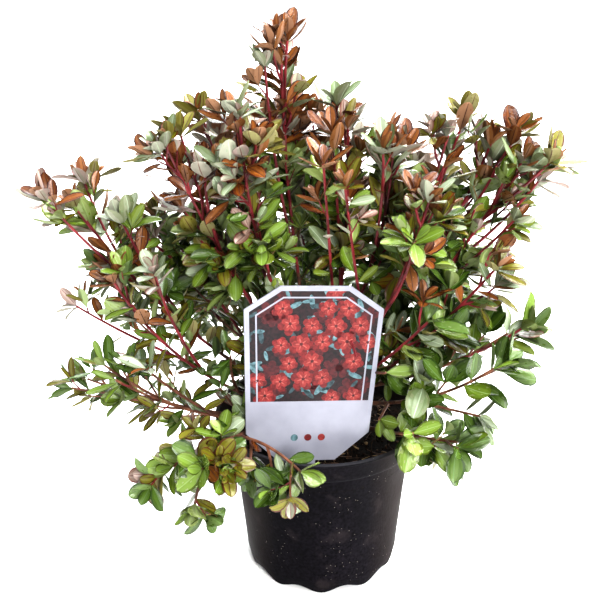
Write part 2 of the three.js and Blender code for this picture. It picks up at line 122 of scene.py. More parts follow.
def makeCamera():
    camera = bpy.data.objects.new("photoCamera", bpy.data.cameras.new("photoCamera"))
    bpy.context.scene.collection.objects.link(camera)
    camera.data.sensor_width = photoCamera["sensor"]
    camera.data.lens = photoCamera["focal"] / photoCamera["frame"] * photoCamera["sensor"]
    camera.data.clip_start = photoCamera["nearest"]
    turn = Matrix.Rotation(math.radians(photoCamera["yaw"]), 4, "Z")
    tilt = Matrix.Rotation(math.radians(90 - photoCamera["pitch"]), 4, "X")
    roll = Matrix.Rotation(math.radians(photoCamera["roll"]), 4, "Z")
    camera.matrix_world = Matrix.Translation(photoCamera["place"]) @ turn @ tilt @ roll
    bpy.context.scene.camera = camera
    view = bpy.context.scene.view_settings
    view.view_transform = "Standard"
    view.exposure = photoCamera["exposure"]
    view.gamma = photoCamera["gamma"]


def makeStudio():
    world = bpy.data.worlds.new("studioWorld")
    world.use_nodes = True
    background = world.node_tree.nodes["Background"]
    background.inputs["Color"].default_value = (*studio["worldColor"], 1)
    background.inputs["Strength"].default_value = studio["worldStrength"]
    bpy.context.scene.world = world
    for name, place, size, power, color in studio["lamps"]:
        light = bpy.data.lights.new(name, "AREA")
        light.shape = "DISK"
        light.size = size
        light.energy = power
        light.color = color
        lamp = bpy.data.objects.new(name, light)
        lamp.location = place
        aim = Vector(studio["aim"]) - Vector(place)
        lamp.rotation_euler = aim.to_track_quat("-Z", "Y").to_euler()
        bpy.context.scene.collection.objects.link(lamp)
    bpy.ops.mesh.primitive_plane_add(size=studio["floorSize"])
    floor = takePrimitive("floor")
    floorPaint, tree, shader = newMaterial("floorPaint", studio["floorRoughness"])
    shader.inputs["Base Color"].default_value = (*studio["floorColor"], 1)
    floor.data.materials.append(floorPaint)
    floor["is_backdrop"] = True
    deselectAll()


makeCamera()
makeStudio()
report("camera and studio")

# Finishes: node groups that several materials share


def newGroup(name, inputs, outputs):
    group = bpy.data.node_groups.new(name, "ShaderNodeTree")
    for label, kind, value in inputs:
        socket = group.interface.new_socket(name=label, in_out="INPUT", socket_type=f"NodeSocket{kind}")
        if value is not None:
            socket.default_value = value
    for label, kind in outputs:
        group.interface.new_socket(name=label, in_out="OUTPUT", socket_type=f"NodeSocket{kind}")
    return group, group.nodes.new("NodeGroupInput"), group.nodes.new("NodeGroupOutput")


def addNode(tree, kind, **values):
    # Values are the node's sockets or its settings
    node = tree.nodes.new(f"ShaderNode{kind}")
    for key, value in values.items():
        if key in node.inputs:
            node.inputs[key].default_value = value
        else:
            setattr(node, key, value)
    return node


def wire(tree, *rows):
    # Each row joins a node's output to another node's input
    for giver, output, taker, socket in rows:
        tree.links.new(giver.outputs[output], taker.inputs[socket])


def makeMottle():
    # Two colours mixed by soft noise, for plastics, bark and peat
    group, start, end = newGroup(
        "mottle",
        [("Dark", "Color", None), ("Light", "Color", None), ("Scale", "Float", 100.0),
         ("Detail", "Float", 4.0), ("Low", "Float", 0.35), ("High", "Float", 0.65)],
        [("Color", "Color"), ("Mask", "Float")],
    )
    place = addNode(group, "TexCoord")
    noise = addNode(group, "TexNoise")
    spreadOut = addNode(group, "MapRange")
    blend = addNode(group, "Mix", data_type="RGBA")
    wire(
        group,
        (place, "Object", noise, "Vector"),
        (start, "Scale", noise, "Scale"),
        (start, "Detail", noise, "Detail"),
        (noise, "Fac", spreadOut, "Value"),
        (start, "Low", spreadOut, "From Min"),
        (start, "High", spreadOut, "From Max"),
        (spreadOut, "Result", blend, "Factor"),
        (start, "Dark", blend, "A"),
        (start, "Light", blend, "B"),
        (blend, "Result", end, "Color"),
        (spreadOut, "Result", end, "Mask"),
    )
    return group


def makeSpecks():
    # Small specks of dust, thinned out by a slower noise
    group, start, end = newGroup(
        "specks",
        [("Scale", "Float", 400.0), ("Size", "Float", 0.12), ("Patch", "Float", 30.0),
         ("Share", "Float", 0.5)],
        [("Mask", "Float")],
    )
    place = addNode(group, "TexCoord")
    cells = addNode(group, "TexVoronoi")
    patches = addNode(group, "TexNoise", Detail=2.0)
    inside = addNode(group, "Math", operation="LESS_THAN")
    here = addNode(group, "Math", operation="GREATER_THAN")
    both = addNode(group, "Math", operation="MULTIPLY")
    wire(
        group,
        (place, "Object", cells, "Vector"),
        (place, "Object", patches, "Vector"),
        (start, "Scale", cells, "Scale"),
        (start, "Patch", patches, "Scale"),
        (cells, "Distance", inside, 0),
        (start, "Size", inside, 1),
        (patches, "Fac", here, 0),
        (start, "Share", here, 1),
        (inside, 0, both, 0),
        (here, 0, both, 1),
        (both, 0, end, "Mask"),
    )
    return group


def makeRelief():
    # Height from noise and finer noise, stretched along Z where the surface is drawn upwards
    group, start, end = newGroup(
        "relief",
        [("Scale", "Float", 300.0), ("Stretch", "Vector", None), ("Fine", "Float", 0.4)],
        [("Height", "Float")],
    )
    place = addNode(group, "TexCoord")
    stretch = addNode(group, "VectorMath", operation="MULTIPLY")
    coarse = addNode(group, "TexNoise", Detail=3.0)
    finer = addNode(group, "Math", operation="MULTIPLY")
    finer.inputs[1].default_value = 4.0  # the fine noise's scale against the coarse one's
    fine = addNode(group, "TexNoise", Detail=2.0)
    weigh = addNode(group, "Math", operation="MULTIPLY")
    total = addNode(group, "Math", operation="ADD")
    wire(
        group,
        (place, "Object", stretch, 0),
        (start, "Stretch", stretch, 1),
        (stretch, 0, coarse, "Vector"),
        (stretch, 0, fine, "Vector"),
        (start, "Scale", coarse, "Scale"),
        (start, "Scale", finer, 0),
        (finer, 0, fine, "Scale"),
        (fine, "Fac", weigh, 0),
        (start, "Fine", weigh, 1),
        (coarse, "Fac", total, 0),
        (weigh, 0, total, 1),
        (total, 0, end, "Height"),
    )
    return group


mottle = makeMottle()
specks = makeSpecks()
relief = makeRelief()


def placeGroup(tree, group, **values):
    node = tree.nodes.new("ShaderNodeGroup")
    node.node_tree = group
    for key, value in values.items():
        socket = node.inputs[key]
        socket.default_value = (*value, 1) if socket.type == "RGBA" else value
    return node


def addBump(tree, shader, strength, distance, scale, stretch=(1, 1, 1), fine=0.4):
    height = placeGroup(tree, relief, Scale=scale, Stretch=stretch, Fine=fine)
    bump = addNode(tree, "Bump", Strength=strength, Distance=distance)
    wire(tree, (height, "Height", bump, "Height"), (bump, "Normal", shader, "Normal"))


def addRoughness(tree, shader, rough, mottled):
    spreadOut = addNode(tree, "MapRange", **{"To Min": rough[0], "To Max": rough[1]})
    wire(tree, (mottled, "Mask", spreadOut, "Value"), (spreadOut, "Result", shader, "Roughness"))


def mottledMaterial(name, dark, light, scale, rough, specular, bump):
    material, tree, shader = newMaterial(name, rough[0], specular)
    colors = placeGroup(tree, mottle, Dark=dark, Light=light, Scale=scale)
    wire(tree, (colors, "Color", shader, "Base Color"))
    addRoughness(tree, shader, rough, colors)
    addBump(tree, shader, **bump)
    return material


def mottledMaterials(rows, bump):
    # One material to a name, from its two colours, the mottle's scale, the roughness and the specular level
    return [mottledMaterial(name, *row, bump) for name, row in rows.items()]


# Tools for the shapes


def buildMesh(name, points, corners, sizes, materialIndex=None):
    mesh = bpy.data.meshes.new(name)
    mesh.vertices.add(len(points))
    mesh.vertices.foreach_set("co", np.asarray(points, np.float32).ravel())
    mesh.loops.add(len(corners))
    mesh.loops.foreach_set("vertex_index", np.asarray(corners, np.int32))
    mesh.polygons.add(len(sizes))
    starts = np.concatenate([[0], np.cumsum(sizes)[:-1]]).astype(np.int32)
    mesh.polygons.foreach_set("loop_start", starts)
    if materialIndex is not None:
        mesh.polygons.foreach_set("material_index", np.asarray(materialIndex, np.int32))
    mesh.update(calc_edges=True)
    mesh.validate()
    piece = bpy.data.objects.new(name, mesh)
    bpy.context.scene.collection.objects.link(piece)
    return piece


def smoothByAngle(piece, degrees):
    selectOnly(piece)
    bpy.ops.object.shade_smooth_by_angle(angle=math.radians(degrees))
    deselectAll()


def unit(vector):
    return vector / np.linalg.norm(vector)


class TubeSet:
    # Many tapering tubes that end up in one mesh
    def __init__(self):
        self.points = []
        self.corners = []
        self.sizes = []
        self.kinds = []
        self.count = 0

    def add(self, path, radii, sides, kind=0, ridges=None):
        path = np.asarray(path, float)
        ways = np.gradient(path, axis=0)
        ways /= np.linalg.norm(ways, axis=1)[:, None]
        turns = np.arange(sides) * 2 * math.pi / sides
        side = unit(np.cross(ways[0], (0.3, 0.5, 0.81)))
        for ring, (point, way, radius) in enumerate(zip(path, ways, radii)):
            side = unit(side - way * side.dot(way))
            other = np.cross(way, side)
            reach = np.full(sides, radius) if ridges is None else radius * ridges[ring]
            circle = np.cos(turns)[:, None] * side + np.sin(turns)[:, None] * other
            self.points.append(point + circle * reach[:, None])
        first = self.count
        rings = len(path)
        for ring in range(rings - 1):
            here = first + ring * sides
            for j in range(sides):
                k = (j + 1) % sides
                self.corners += [here + j, here + k, here + sides + k, here + sides + j]
        self.sizes += [4] * (rings - 1) * sides + [sides, sides]
        last = first + (rings - 1) * sides
        self.corners += list(range(first + sides - 1, first - 1, -1)) + list(range(last, last + sides))
        self.kinds += [kind] * ((rings - 1) * sides + 2)
        self.count += rings * sides

    def build(self, name):
        points = np.concatenate(self.points) * mm
        return buildMesh(name, points, self.corners, self.sizes, self.kinds)


def turnPiece(name, rings, sides):
    # A round piece from the centre of its underside, over its rings, to the centre of its other end
    deselectAll()
    radius, height = rings[0]
    bpy.ops.mesh.primitive_circle_add(
        vertices=sides, radius=radius, fill_type="NGON", location=(0, 0, height))
    piece = takePrimitive(name)
    bpy.ops.object.mode_set(mode="EDIT")
    bpy.ops.mesh.select_all(action="SELECT")
    for nextRadius, nextHeight in rings[1:]:
        step = (0, 0, nextHeight - height)
        bpy.ops.mesh.extrude_region_move(TRANSFORM_OT_translate={"value": step})
        grow = nextRadius / radius
        bpy.ops.transform.resize(value=(grow, grow, 1), center_override=(0, 0, nextHeight))
        radius = nextRadius
        height = nextHeight
    bpy.ops.mesh.select_all(action="SELECT")
    bpy.ops.mesh.normals_make_consistent(inside=False)
    bpy.ops.object.mode_set(mode="OBJECT")
    return piece


def applyModifier(piece, kind, **values):
    selectOnly(piece)
    modifier = piece.modifiers.new(kind.lower(), kind)
    for key, value in values.items():
        setattr(modifier, key, value)
    bpy.ops.object.modifier_apply(modifier=modifier.name)
    deselectAll()


def joinPieces(name, pieces):
    deselectAll()
    for piece in pieces:
        piece.select_set(True)
    bpy.context.view_layer.objects.active = pieces[0]
    bpy.ops.object.join()
    joined = bpy.context.object
    joined.name = name
    joined.data.name = name
    deselectAll()
    return joined


def finishPiece(piece, slot, materials, *nodes):
    if len(piece.data.materials):
        piece.data.materials.clear()  # this also resets every face to the first material
    for material in materials:
        piece.data.materials.append(material)
    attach(piece, "root")
    if nodes:
        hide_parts(*nodes)


# Pot
potShape = {
    "sides": 120,
    "height": 120 * mm,
    "lipRadius": 75 * mm,
    "lipHeight": 2.6 * mm,
    "lipRound": 0.9 * mm,
    "lipFrom": -35,  # degrees round the lip's edge
    "lipTurn": 125,
    "lipSteps": 5,
    "collarRadius": 73.2 * mm,
    "collarFootRadius": 69.6 * mm,
    "collarFoot": 104 * mm,
    "collarSteps": 5,
    "wall": 1.5 * mm,
    "floorRise": 6.8 * mm,
    "baseRadius": 52.6 * mm,
    "ringWidth": 3 * mm,
    "discRadius": 18 * mm,
    "poleRadius": 0.8 * mm,
    # radius and height up the body
    "body": [(54.6, 8.5), (55.3, 12), (56.3, 25), (58.2, 45), (60, 65), (62.4, 85), (64.4, 97), (65.6, 103)],
    "footCount": 10,
    "notchHeight": 4.6 * mm,
    "notchFade": 12 * mm,  # height at which the feet's wave has died away
    "smooth": 32,
}
potFinish = {
    "black": {"Dark": (0.0022, 0.0021, 0.0031), "Light": (0.0078, 0.0068, 0.0092), "Scale": 14, "Detail": 8},
    "grain": {"Dark": (0.45, 0.45, 0.45), "Light": (1.5, 1.45, 1.45), "Scale": 520, "Detail": 3},
    "scuffs": {"Scale": 60, "Detail": 8, "Low": 0.57, "High": 0.72},
    "dust": {"Scale": 330, "Size": 0.1, "Patch": 24, "Share": 0.5},
    "scuffColor": (0.02, 0.016, 0.0175),
    # painted reflection: brown on the pot's two flanks
    "flankReflectionColor": (0.022, 0.0145, 0.012),
    # painted highlight: lighter grey on the lip and on the collar's edge
    "edgeHighlightColor": (0.05, 0.05, 0.056),
    "dustColor": (0.16, 0.14, 0.12),
    # how far to the side the painted brown reflection starts and is full, depth of the painted highlight on
    # the lip and of the one on the collar's edge
    "flank": (32 * mm, 66 * mm),
    "lipEdge": (0.9 * mm, 0.1 * mm),
    "collarEdge": 0.6 * mm,
    # how strong the painted highlight is on the lip and on the collar's edge
    "lipHighlight": 0.6,
    "collarHighlight": 0.1,
    "rough": (0.4, 0.64),
    "specular": 0.03,
    "bump": {"strength": 0.2, "distance": 0.0005, "scale": 230, "stretch": (1, 1, 0.4), "fine": 0.6},
}


def potRings():
    # Radius and height round the wall: out and up from the underside's middle, over the lip, and down inside
    shape = potShape
    body = [(r * mm, z * mm) for r, z in shape["body"]]
    wall = shape["wall"]
    disc = shape["discRadius"]
    base = shape["baseRadius"]
    footRing = base - shape["ringWidth"]
    rise = shape["floorRise"]
    top = shape["height"]
    foot = shape["collarFoot"]
    footRadius = shape["collarFootRadius"]
    collar = shape["collarRadius"]
    collarTop = top - shape["lipHeight"]
    lip = shape["lipRadius"]
    curl = shape["lipRound"]
    outer = [
        (shape["poleRadius"], 0),
        (disc, 0),
        (disc + 0.3 * mm, 0.3 * mm),
        (disc + 1 * mm, rise),
        (footRing, rise),
        (footRing + 0.9 * mm, 0.3 * mm),
        (footRing + 1.2 * mm, 0),
        (base - 0.7 * mm, 0),
        (base - 0.2 * mm, 0.3 * mm),
        (base + 0.2 * mm, 1.2 * mm),
        (base + 1.2 * mm, 4.5 * mm),
        *body,
        (footRadius - 0.8 * mm, foot - 0.6 * mm),
        (footRadius - 0.2 * mm, foot - 0.3 * mm),
        (footRadius + 0.1 * mm, foot + 0.3 * mm),
    ]
    for i in range(1, shape["collarSteps"] + 1):
        share = i / shape["collarSteps"]
        outer.append((footRadius + (collar - footRadius) * share, foot + (collarTop - foot) * share))
    outer.append((lip - curl * 0.6, collarTop + 0.1 * mm))
    for i in range(shape["lipSteps"] + 1):
        angle = math.radians(shape["lipFrom"] + shape["lipTurn"] * i / shape["lipSteps"])
        outer.append((lip - curl + curl * math.cos(angle), top - curl + curl * math.sin(angle)))
    inner = [
        (collar - wall + 0.5 * mm, top - 0.1 * mm),
        (collar - wall, top - 0.7 * mm),
        (footRadius - wall, foot + 0.2 * mm),
        (footRadius - wall - 0.5 * mm, foot - 0.4 * mm),
        *[(r - wall, z) for r, z in reversed(body[1:])],
        (base + 1.2 * mm - wall, rise + wall),
        (shape["poleRadius"], rise + wall),
    ]
    return outer + inner


def makePot():
    # The foot ring is drawn up in a wave between the feet
    pot = turnPiece("pot_shell", potRings(), potShape["sides"])
    innermost = potShape["baseRadius"] - potShape["ringWidth"] + 0.5 * mm
    for vertex in pot.data.vertices:
        x, y, z = vertex.co
        if math.hypot(x, y) > innermost and z < potShape["notchFade"]:
            wave = (1 + math.cos(potShape["footCount"] * math.atan2(y, x))) / 2
            vertex.co.z = z + wave * potShape["notchHeight"] * (1 - z / potShape["notchFade"])
    smoothByAngle(pot, potShape["smooth"])
    return pot


def potMaterial():
    # Black with a fine grain and scuffs, a painted brown reflection on two flanks, a painted highlight on the
    # lip and the collar's edge, dusty
    finish = potFinish
    material, tree, shader = newMaterial("potPlastic", finish["rough"][0], finish["specular"])
    black, grain, scuffs = (placeGroup(tree, mottle, **finish[name]) for name in ("black", "grain", "scuffs"))
    dust = placeGroup(tree, specks, **finish["dust"])
    grained = addNode(tree, "Mix", data_type="RGBA", blend_type="MULTIPLY", Factor=1)
    scuffed, reflectionTinted, edgeHighlighted, dusty = (
        addNode(tree, "Mix", data_type="RGBA", B=(*finish[name], 1))
        for name in ("scuffColor", "flankReflectionColor", "edgeHighlightColor", "dustColor"))
    coordinates = addNode(tree, "TexCoord")
    place = addNode(tree, "SeparateXYZ")
    aside = addNode(tree, "Math", operation="ABSOLUTE")
    # the painted brown reflection grows towards the sides
    flank = addNode(tree, "MapRange", **{"From Min": finish["flank"][0], "From Max": finish["flank"][1]})
    # the painted highlight: a band at the top of the lip and a thin one at the collar's edge
    lipFrom, lipTo = (potShape["height"] - depth for depth in finish["lipEdge"])
    lipEdge = addNode(
        tree, "MapRange", **{"From Min": lipFrom, "From Max": lipTo, "To Max": finish["lipHighlight"]})
    collarEdge = addNode(tree, "Math", operation="COMPARE")
    collarEdge.inputs[1].default_value = potShape["collarFoot"]
    collarEdge.inputs[2].default_value = finish["collarEdge"]
    edges = addNode(tree, "Math", operation="MULTIPLY_ADD")
    edges.inputs[1].default_value = finish["collarHighlight"]
    wire(
        tree,
        (black, "Color", grained, "A"),
        (grain, "Color", grained, "B"),
        (scuffs, "Mask", scuffed, "Factor"),
        (grained, "Result", scuffed, "A"),
        (coordinates, "Object", place, "Vector"),
        (place, "X", aside, 0),
        (aside, "Value", flank, "Value"),
        (flank, "Result", reflectionTinted, "Factor"),
        (scuffed, "Result", reflectionTinted, "A"),
        (place, "Z", lipEdge, "Value"),
        (place, "Z", collarEdge, 0),
        (collarEdge, "Value", edges, 0),
        (lipEdge, "Result", edges, 2),
        (edges, "Value", edgeHighlighted, "Factor"),
        (reflectionTinted, "Result", edgeHighlighted, "A"),
        (dust, "Mask", dusty, "Factor"),
        (edgeHighlighted, "Result", dusty, "A"),
        (dusty, "Result", shader, "Base Color"),
    )
    addRoughness(tree, shader, finish["rough"], black)
    addBump(tree, shader, **finish["bump"])
    return material


finishPiece(makePot(), "pot_plastic", [potMaterial()], "pot")
report("pot")

# Peat: a heap that falls from the trunk to the wall, with crumbs, fibres and bits of bark on it
peat = {
    "sides": 110,
    "bottom": 92,
    # radius and height of the slope
    "slope": [(63.6, 92), (63.6, 104.4), (62.9, 105), (50, 105.4), (32, 107.2), (14, 108), (1, 108)],
    "ringStep": 1.3,
    "roughFrom": 104.2,
    "roughness": 1.5 * mm,
    "lumps": ((5 * mm, 1.0), (1.6 * mm, 0.7)),  # size, share of the roughness
    "lumpLevel": 0.62,
    "smooth": 50,
    "crumbs": 1500,
    "crumbReach": 61,
    "crumbStretch": (0.5, 1.5),
    "crumbSize": (0.35, 1.25),
    "crumbDents": 0.3,
    "crumbShares": (0.5, 0.3, 0.16, 0.04),
    "fibres": 330,
    "fibreReach": 58,
    "fibreLimit": 63,
    "fibreSteps": 6,
    "fibreLength": (4, 17),
    "fibreBow": 0.18,
    "fibreLift": (0.2, 1.4),
    "fibreTilt": (-0.4, 2.2),
    "fibreThickness": (0.16, 0.55),
    "fibreShares": (0.5, 0.35, 0.15),
    "seed": 11,
}
peatRelief = {"strength": 0.8, "distance": 0.0015, "scale": 420}
peatTones = {
    # two colours, the mottle's scale, roughness, specular level
    "peatDark": ((0.0025, 0.0017, 0.0012), (0.011, 0.0065, 0.004), 260, (0.85, 1), 0.1),
    "peatBrown": ((0.008, 0.0045, 0.0025), (0.032, 0.016, 0.008), 300, (0.8, 1), 0.1),
    "barkChip": ((0.04, 0.018, 0.009), (0.1, 0.05, 0.025), 250, (0.7, 0.9), 0.5),
    "strawFibre": ((0.12, 0.075, 0.035), (0.26, 0.18, 0.09), 200, (0.7, 0.9), 0.5),
}


def soilHeight(radius):
    reach, rise = zip(*reversed(peat["slope"][2:]))
    return np.interp(radius, reach, rise)


def makePeat():
    rings = [(1, peat["bottom"]), *peat["slope"][:3]]
    edge = peat["slope"][2][0]
    for radius in np.arange(edge - peat["ringStep"], 1, -peat["ringStep"]):
        rings.append((float(radius), float(soilHeight(radius))))
    heap = turnPiece("peat_heap", [(r * mm, z * mm) for r, z in rings], peat["sides"])
    top = heap.vertex_groups.new(name="top")
    high = [v.index for v in heap.data.vertices if v.co.z > peat["roughFrom"] * mm]
    top.add(high, 1, "REPLACE")
    for size, share in peat["lumps"]:
        clouds = bpy.data.textures.new("peatLumps", "CLOUDS")
        clouds.noise_scale = size
        clouds.noise_depth = 3
        applyModifier(
            heap, "DISPLACE", texture=clouds, strength=peat["roughness"] * share,
            mid_level=peat["lumpLevel"], direction="Z", vertex_group="top")
    smoothByAngle(heap, peat["smooth"])
    return heap


def scatterOnPeat(rng, count, most):
    radius = np.sqrt(rng.random(count)) * most
    turn = rng.random(count) * 2 * math.pi
    return np.stack([radius * np.cos(turn), radius * np.sin(turn), soilHeight(radius)], axis=1)


def makeCrumbs():
    rng = np.random.default_rng(peat["seed"])
    bpy.ops.mesh.primitive_ico_sphere_add(subdivisions=1, radius=1)
    lump = bpy.context.object
    shape = np.array([v.co for v in lump.data.vertices])
    faces = np.array([p.vertices for p in lump.data.polygons])
    bpy.data.objects.remove(lump)
    count = peat["crumbs"]
    places = scatterOnPeat(rng, count, peat["crumbReach"])
    stretch = rng.uniform(*peat["crumbStretch"], (count, 3))
    size = rng.uniform(*peat["crumbSize"], (count, 1)) ** 1.5
    dents = 1 + rng.uniform(-peat["crumbDents"], peat["crumbDents"], (count, len(shape), 1))
    points = (places[:, None] + shape * (stretch * size)[:, None] * dents) * mm
    corners = (faces[None] + np.arange(count)[:, None, None] * len(shape)).ravel()
    kinds = np.repeat(rng.choice(4, count, p=peat["crumbShares"]), len(faces))
    return buildMesh("peat_crumbs", points.reshape(-1, 3), corners, np.full(count * len(faces), 3), kinds)


def makeFibres():
    rng = np.random.default_rng(peat["seed"] + 1)
    strands = TubeSet()
    steps = np.linspace(-0.5, 0.5, peat["fibreSteps"])
    for place in scatterOnPeat(rng, peat["fibres"], peat["fibreReach"]):
        length = rng.uniform(*peat["fibreLength"])
        turn = rng.uniform(0, 2 * math.pi)
        way = np.array([math.cos(turn), math.sin(turn), 0])
        across = np.array([-way[1], way[0], 0])
        bow = rng.uniform(-peat["fibreBow"], peat["fibreBow"])
        path = np.array([place + way * length * s + across * length * bow * math.cos(3 * s) for s in steps])
        out = np.hypot(path[:, 0], path[:, 1])
        lift = rng.uniform(*peat["fibreLift"])
        tilt = rng.uniform(*peat["fibreTilt"])
        path[:, 2] = soilHeight(out) + lift + np.linspace(0, tilt, len(steps))
        if out.max() < peat["fibreLimit"]:
            thick = rng.uniform(*peat["fibreThickness"]) * length**0.25 / 1.6
            kind = int(rng.choice(3, p=peat["fibreShares"]))
            strands.add(path, np.linspace(thick, thick * 0.5, len(steps)), 4, kind)
    return strands.build("peat_fibres")


peatDark, peatBrown, barkChip, strawFibre = mottledMaterials(peatTones, peatRelief)
finishPiece(makePeat(), "soil", [peatDark], "soil")
finishPiece(makeCrumbs(), "soil", [peatDark, peatBrown, barkChip, strawFibre], "soil")
finishPiece(makeFibres(), "soil", [peatBrown, barkChip, strawFibre], "soil")
report("peat")

# Label: an eight-sided plate on a stake. Its printed front is made of thin inlays.
labelShape = {
    "height": 121.5,
    # half widths and heights of the right-hand corners
    "corners": [(19, 0), (41, 20), (45, 106), (22.5, 121.5)],
    "thickness": 0.8,
    "bevel": 0.12,
    "smooth": 30,
    "stakeWidth": 12,
    "stakeLength": 28,
    "stakeTaper": 0.4,
    "stakeThinner": 0.96,
    "stakeInPlate": 1,  # how far it runs up into the plate
    "lean": 4.5,
    "yaw": 9.7,
    "roll": 4,
    "foot": (-9.7, -53, 110.7),
}
labelPrint = {
    "border": 3.2,
    "trimShare": 0.6,  # of the border, where the motifs under it end
    "pictureFoot": 43,
    "lineInset": 7.1,
    "lineWidth": 1.1,
    "layer": 0.06,
    "rows": 7,
    "rowStep": 12.4,
    "columns": range(-4, 5),
    "columnStep": 14.2,
    "jitter": 1.6,
    "petals": 5,
    "flowerSize": (6.2, 8.6),
    "behind": ((-5, 5), (-6, -3)),  # where a deep red flower stands behind a red one
    "behindShare": 0.7,
    "gapShare": 0.22,
    "blades": 95,
    "bladeReach": 42,
    "bladeSize": (3, 5.4),
    "tealShare": 0.6,
    # place across, ink
    "dots": [(-9, "teal"), (0, "red"), (9, "coral")],
    "dotHeight": 17,
    "dotSize": 2.4,
    "seed": 5,
}
labelFinish = {
    "plastic": ((0.217, 0.219, 0.259), (0.25, 0.253, 0.296), 60, (0.34, 0.46), 0.5),
    "plasticBump": {"strength": 0.06, "distance": 0.0003, "scale": 120},
    "inkBump": {"strength": 0.05, "distance": 0.0001, "scale": 900},
    "inkMottle": (420, (0.34, 0.46), 0.3),
    "inks": {
        "deep": ((0.03, 0.004, 0.006), (0.075, 0.011, 0.013)),
        "red": ((0.068, 0.005, 0.006), (0.148, 0.012, 0.013)),
        "coral": ((0.13, 0.014, 0.013), (0.23, 0.031, 0.028)),
        "pale": ((0.24, 0.052, 0.048), (0.325, 0.096, 0.08)),
        "teal": ((0.035, 0.075, 0.085), (0.11, 0.19, 0.21)),
        "slate": ((0.01, 0.025, 0.03), (0.04, 0.07, 0.08)),
        "ground": ((0.004, 0.003, 0.004), (0.02, 0.007, 0.009)),
    },
}


def labelMatrix(unitLength):
    turn = Matrix.Rotation(math.radians(labelShape["yaw"]), 4, "Z")
    lean = Matrix.Rotation(-math.radians(labelShape["lean"]), 4, "X")
    roll = Matrix.Rotation(math.radians(labelShape["roll"]), 4, "Y")
    return Matrix.Translation(Vector(labelShape["foot"]) * unitLength) @ turn @ lean @ roll


def outlineSides():
    # A point on each side of the outline, with the direction out of it, for both halves
    corners = labelShape["corners"]
    sides = [((0, 0), (0, -1)), ((0, labelShape["height"]), (0, 1))]
    for (x0, z0), (x1, z1) in zip(corners, corners[1:]):
        length = math.hypot(x1 - x0, z1 - z0)
        out = ((z1 - z0) / length, (x0 - x1) / length)
        sides.append(((x0, z0), out))
        sides.append(((-x0, z0), (-out[0], out[1])))
    return sides


def cutPlate(name, inset, lowest=0.0):
    # One upright face, facing -Y, cut to the label's outline, drawn in by inset, and cut off below lowest
    deselectAll()
    bpy.ops.mesh.primitive_plane_add(size=0.3, rotation=(math.pi / 2, 0, 0), location=(0, 0, 0.05))
    plate = takePrimitive(name)
    bpy.ops.object.mode_set(mode="EDIT")
    cuts = [((x - out[0] * inset, z - out[1] * inset), out) for (x, z), out in outlineSides()]
    cuts.append(((0, lowest), (0, -1)))
    for (x, z), (outX, outZ) in cuts:
        bpy.ops.mesh.select_all(action="SELECT")
        bpy.ops.mesh.bisect(
            plane_co=(x * mm, 0, z * mm), plane_no=(outX, 0, outZ), clear_outer=True, use_fill=False)
    bpy.ops.mesh.select_all(action="SELECT")
    return plate


def thicken(depth, front):
    # The faces in edit mode become a sheet whose front is at front, in millimetres from the plate's middle
    bpy.ops.mesh.select_all(action="SELECT")
    bpy.ops.transform.translate(value=(0, (depth - front) * mm, 0))
    bpy.ops.mesh.extrude_region_move(TRANSFORM_OT_translate={"value": (0, -depth * mm, 0)})
    bpy.ops.mesh.select_all(action="SELECT")
    bpy.ops.mesh.normals_make_consistent(inside=False)
    bpy.ops.object.mode_set(mode="OBJECT")


def openRing(width):
    # Insets the selected face and takes out its middle
    bpy.ops.mesh.inset(thickness=width * mm, depth=0)
    bpy.ops.mesh.delete(type="FACE")


def makeLabelPlate():
    plate = cutPlate("label_plate", 0)
    thicken(labelShape["thickness"], labelShape["thickness"] / 2)
    length = labelShape["stakeLength"]
    inPlate = labelShape["stakeInPlate"]
    bpy.ops.mesh.primitive_cube_add(size=1, location=(0, 0, (inPlate - length) / 2 * mm))
    depth = labelShape["thickness"] * labelShape["stakeThinner"]
    bpy.context.object.scale = (labelShape["stakeWidth"] * mm, depth * mm, (length + inPlate) * mm)
    stake = takePrimitive("stake")
    bpy.ops.object.mode_set(mode="EDIT")
    bpy.ops.mesh.select_all(action="SELECT")
    bpy.ops.mesh.subdivide(number_cuts=4)
    bpy.ops.object.mode_set(mode="OBJECT")
    for vertex in stake.data.vertices:
        if vertex.co.z < (1 - length) * mm:
            vertex.co.x *= labelShape["stakeTaper"]
    plate = joinPieces("label_plate", [plate, stake])
    applyModifier(plate, "BEVEL", width=labelShape["bevel"] * mm, segments=2, limit_method="ANGLE")
    return plate


def frontFace(layer):
    return labelShape["thickness"] / 2 + labelPrint["layer"] * layer


def makePicture():
    # The dark ground, the thin white line and, over them, the white border and the blank lower panel
    ground = cutPlate("label_ground", 1, lowest=labelPrint["pictureFoot"] - 2)
    thicken(labelPrint["layer"], frontFace(1))
    line = cutPlate("label_line", labelPrint["lineInset"], lowest=labelPrint["pictureFoot"] - 3)
    openRing(labelPrint["lineWidth"])
    thicken(labelPrint["layer"], frontFace(5))
    border = cutPlate("label_border", 0.15)
    cutHeight = (labelPrint["pictureFoot"] - labelPrint["border"]) * mm
    bpy.ops.mesh.bisect(plane_co=(0, 0, cutHeight), plane_no=(0, 0, 1))
    bpy.ops.object.mode_set(mode="OBJECT")
    for face in border.data.polygons:
        face.select = face.center.z > cutHeight
    bpy.ops.object.mode_set(mode="EDIT")
    bpy.ops.mesh.select_mode(type="FACE")
    openRing(labelPrint["border"])
    thicken(labelPrint["layer"], frontFace(6))
    return ground, line, border


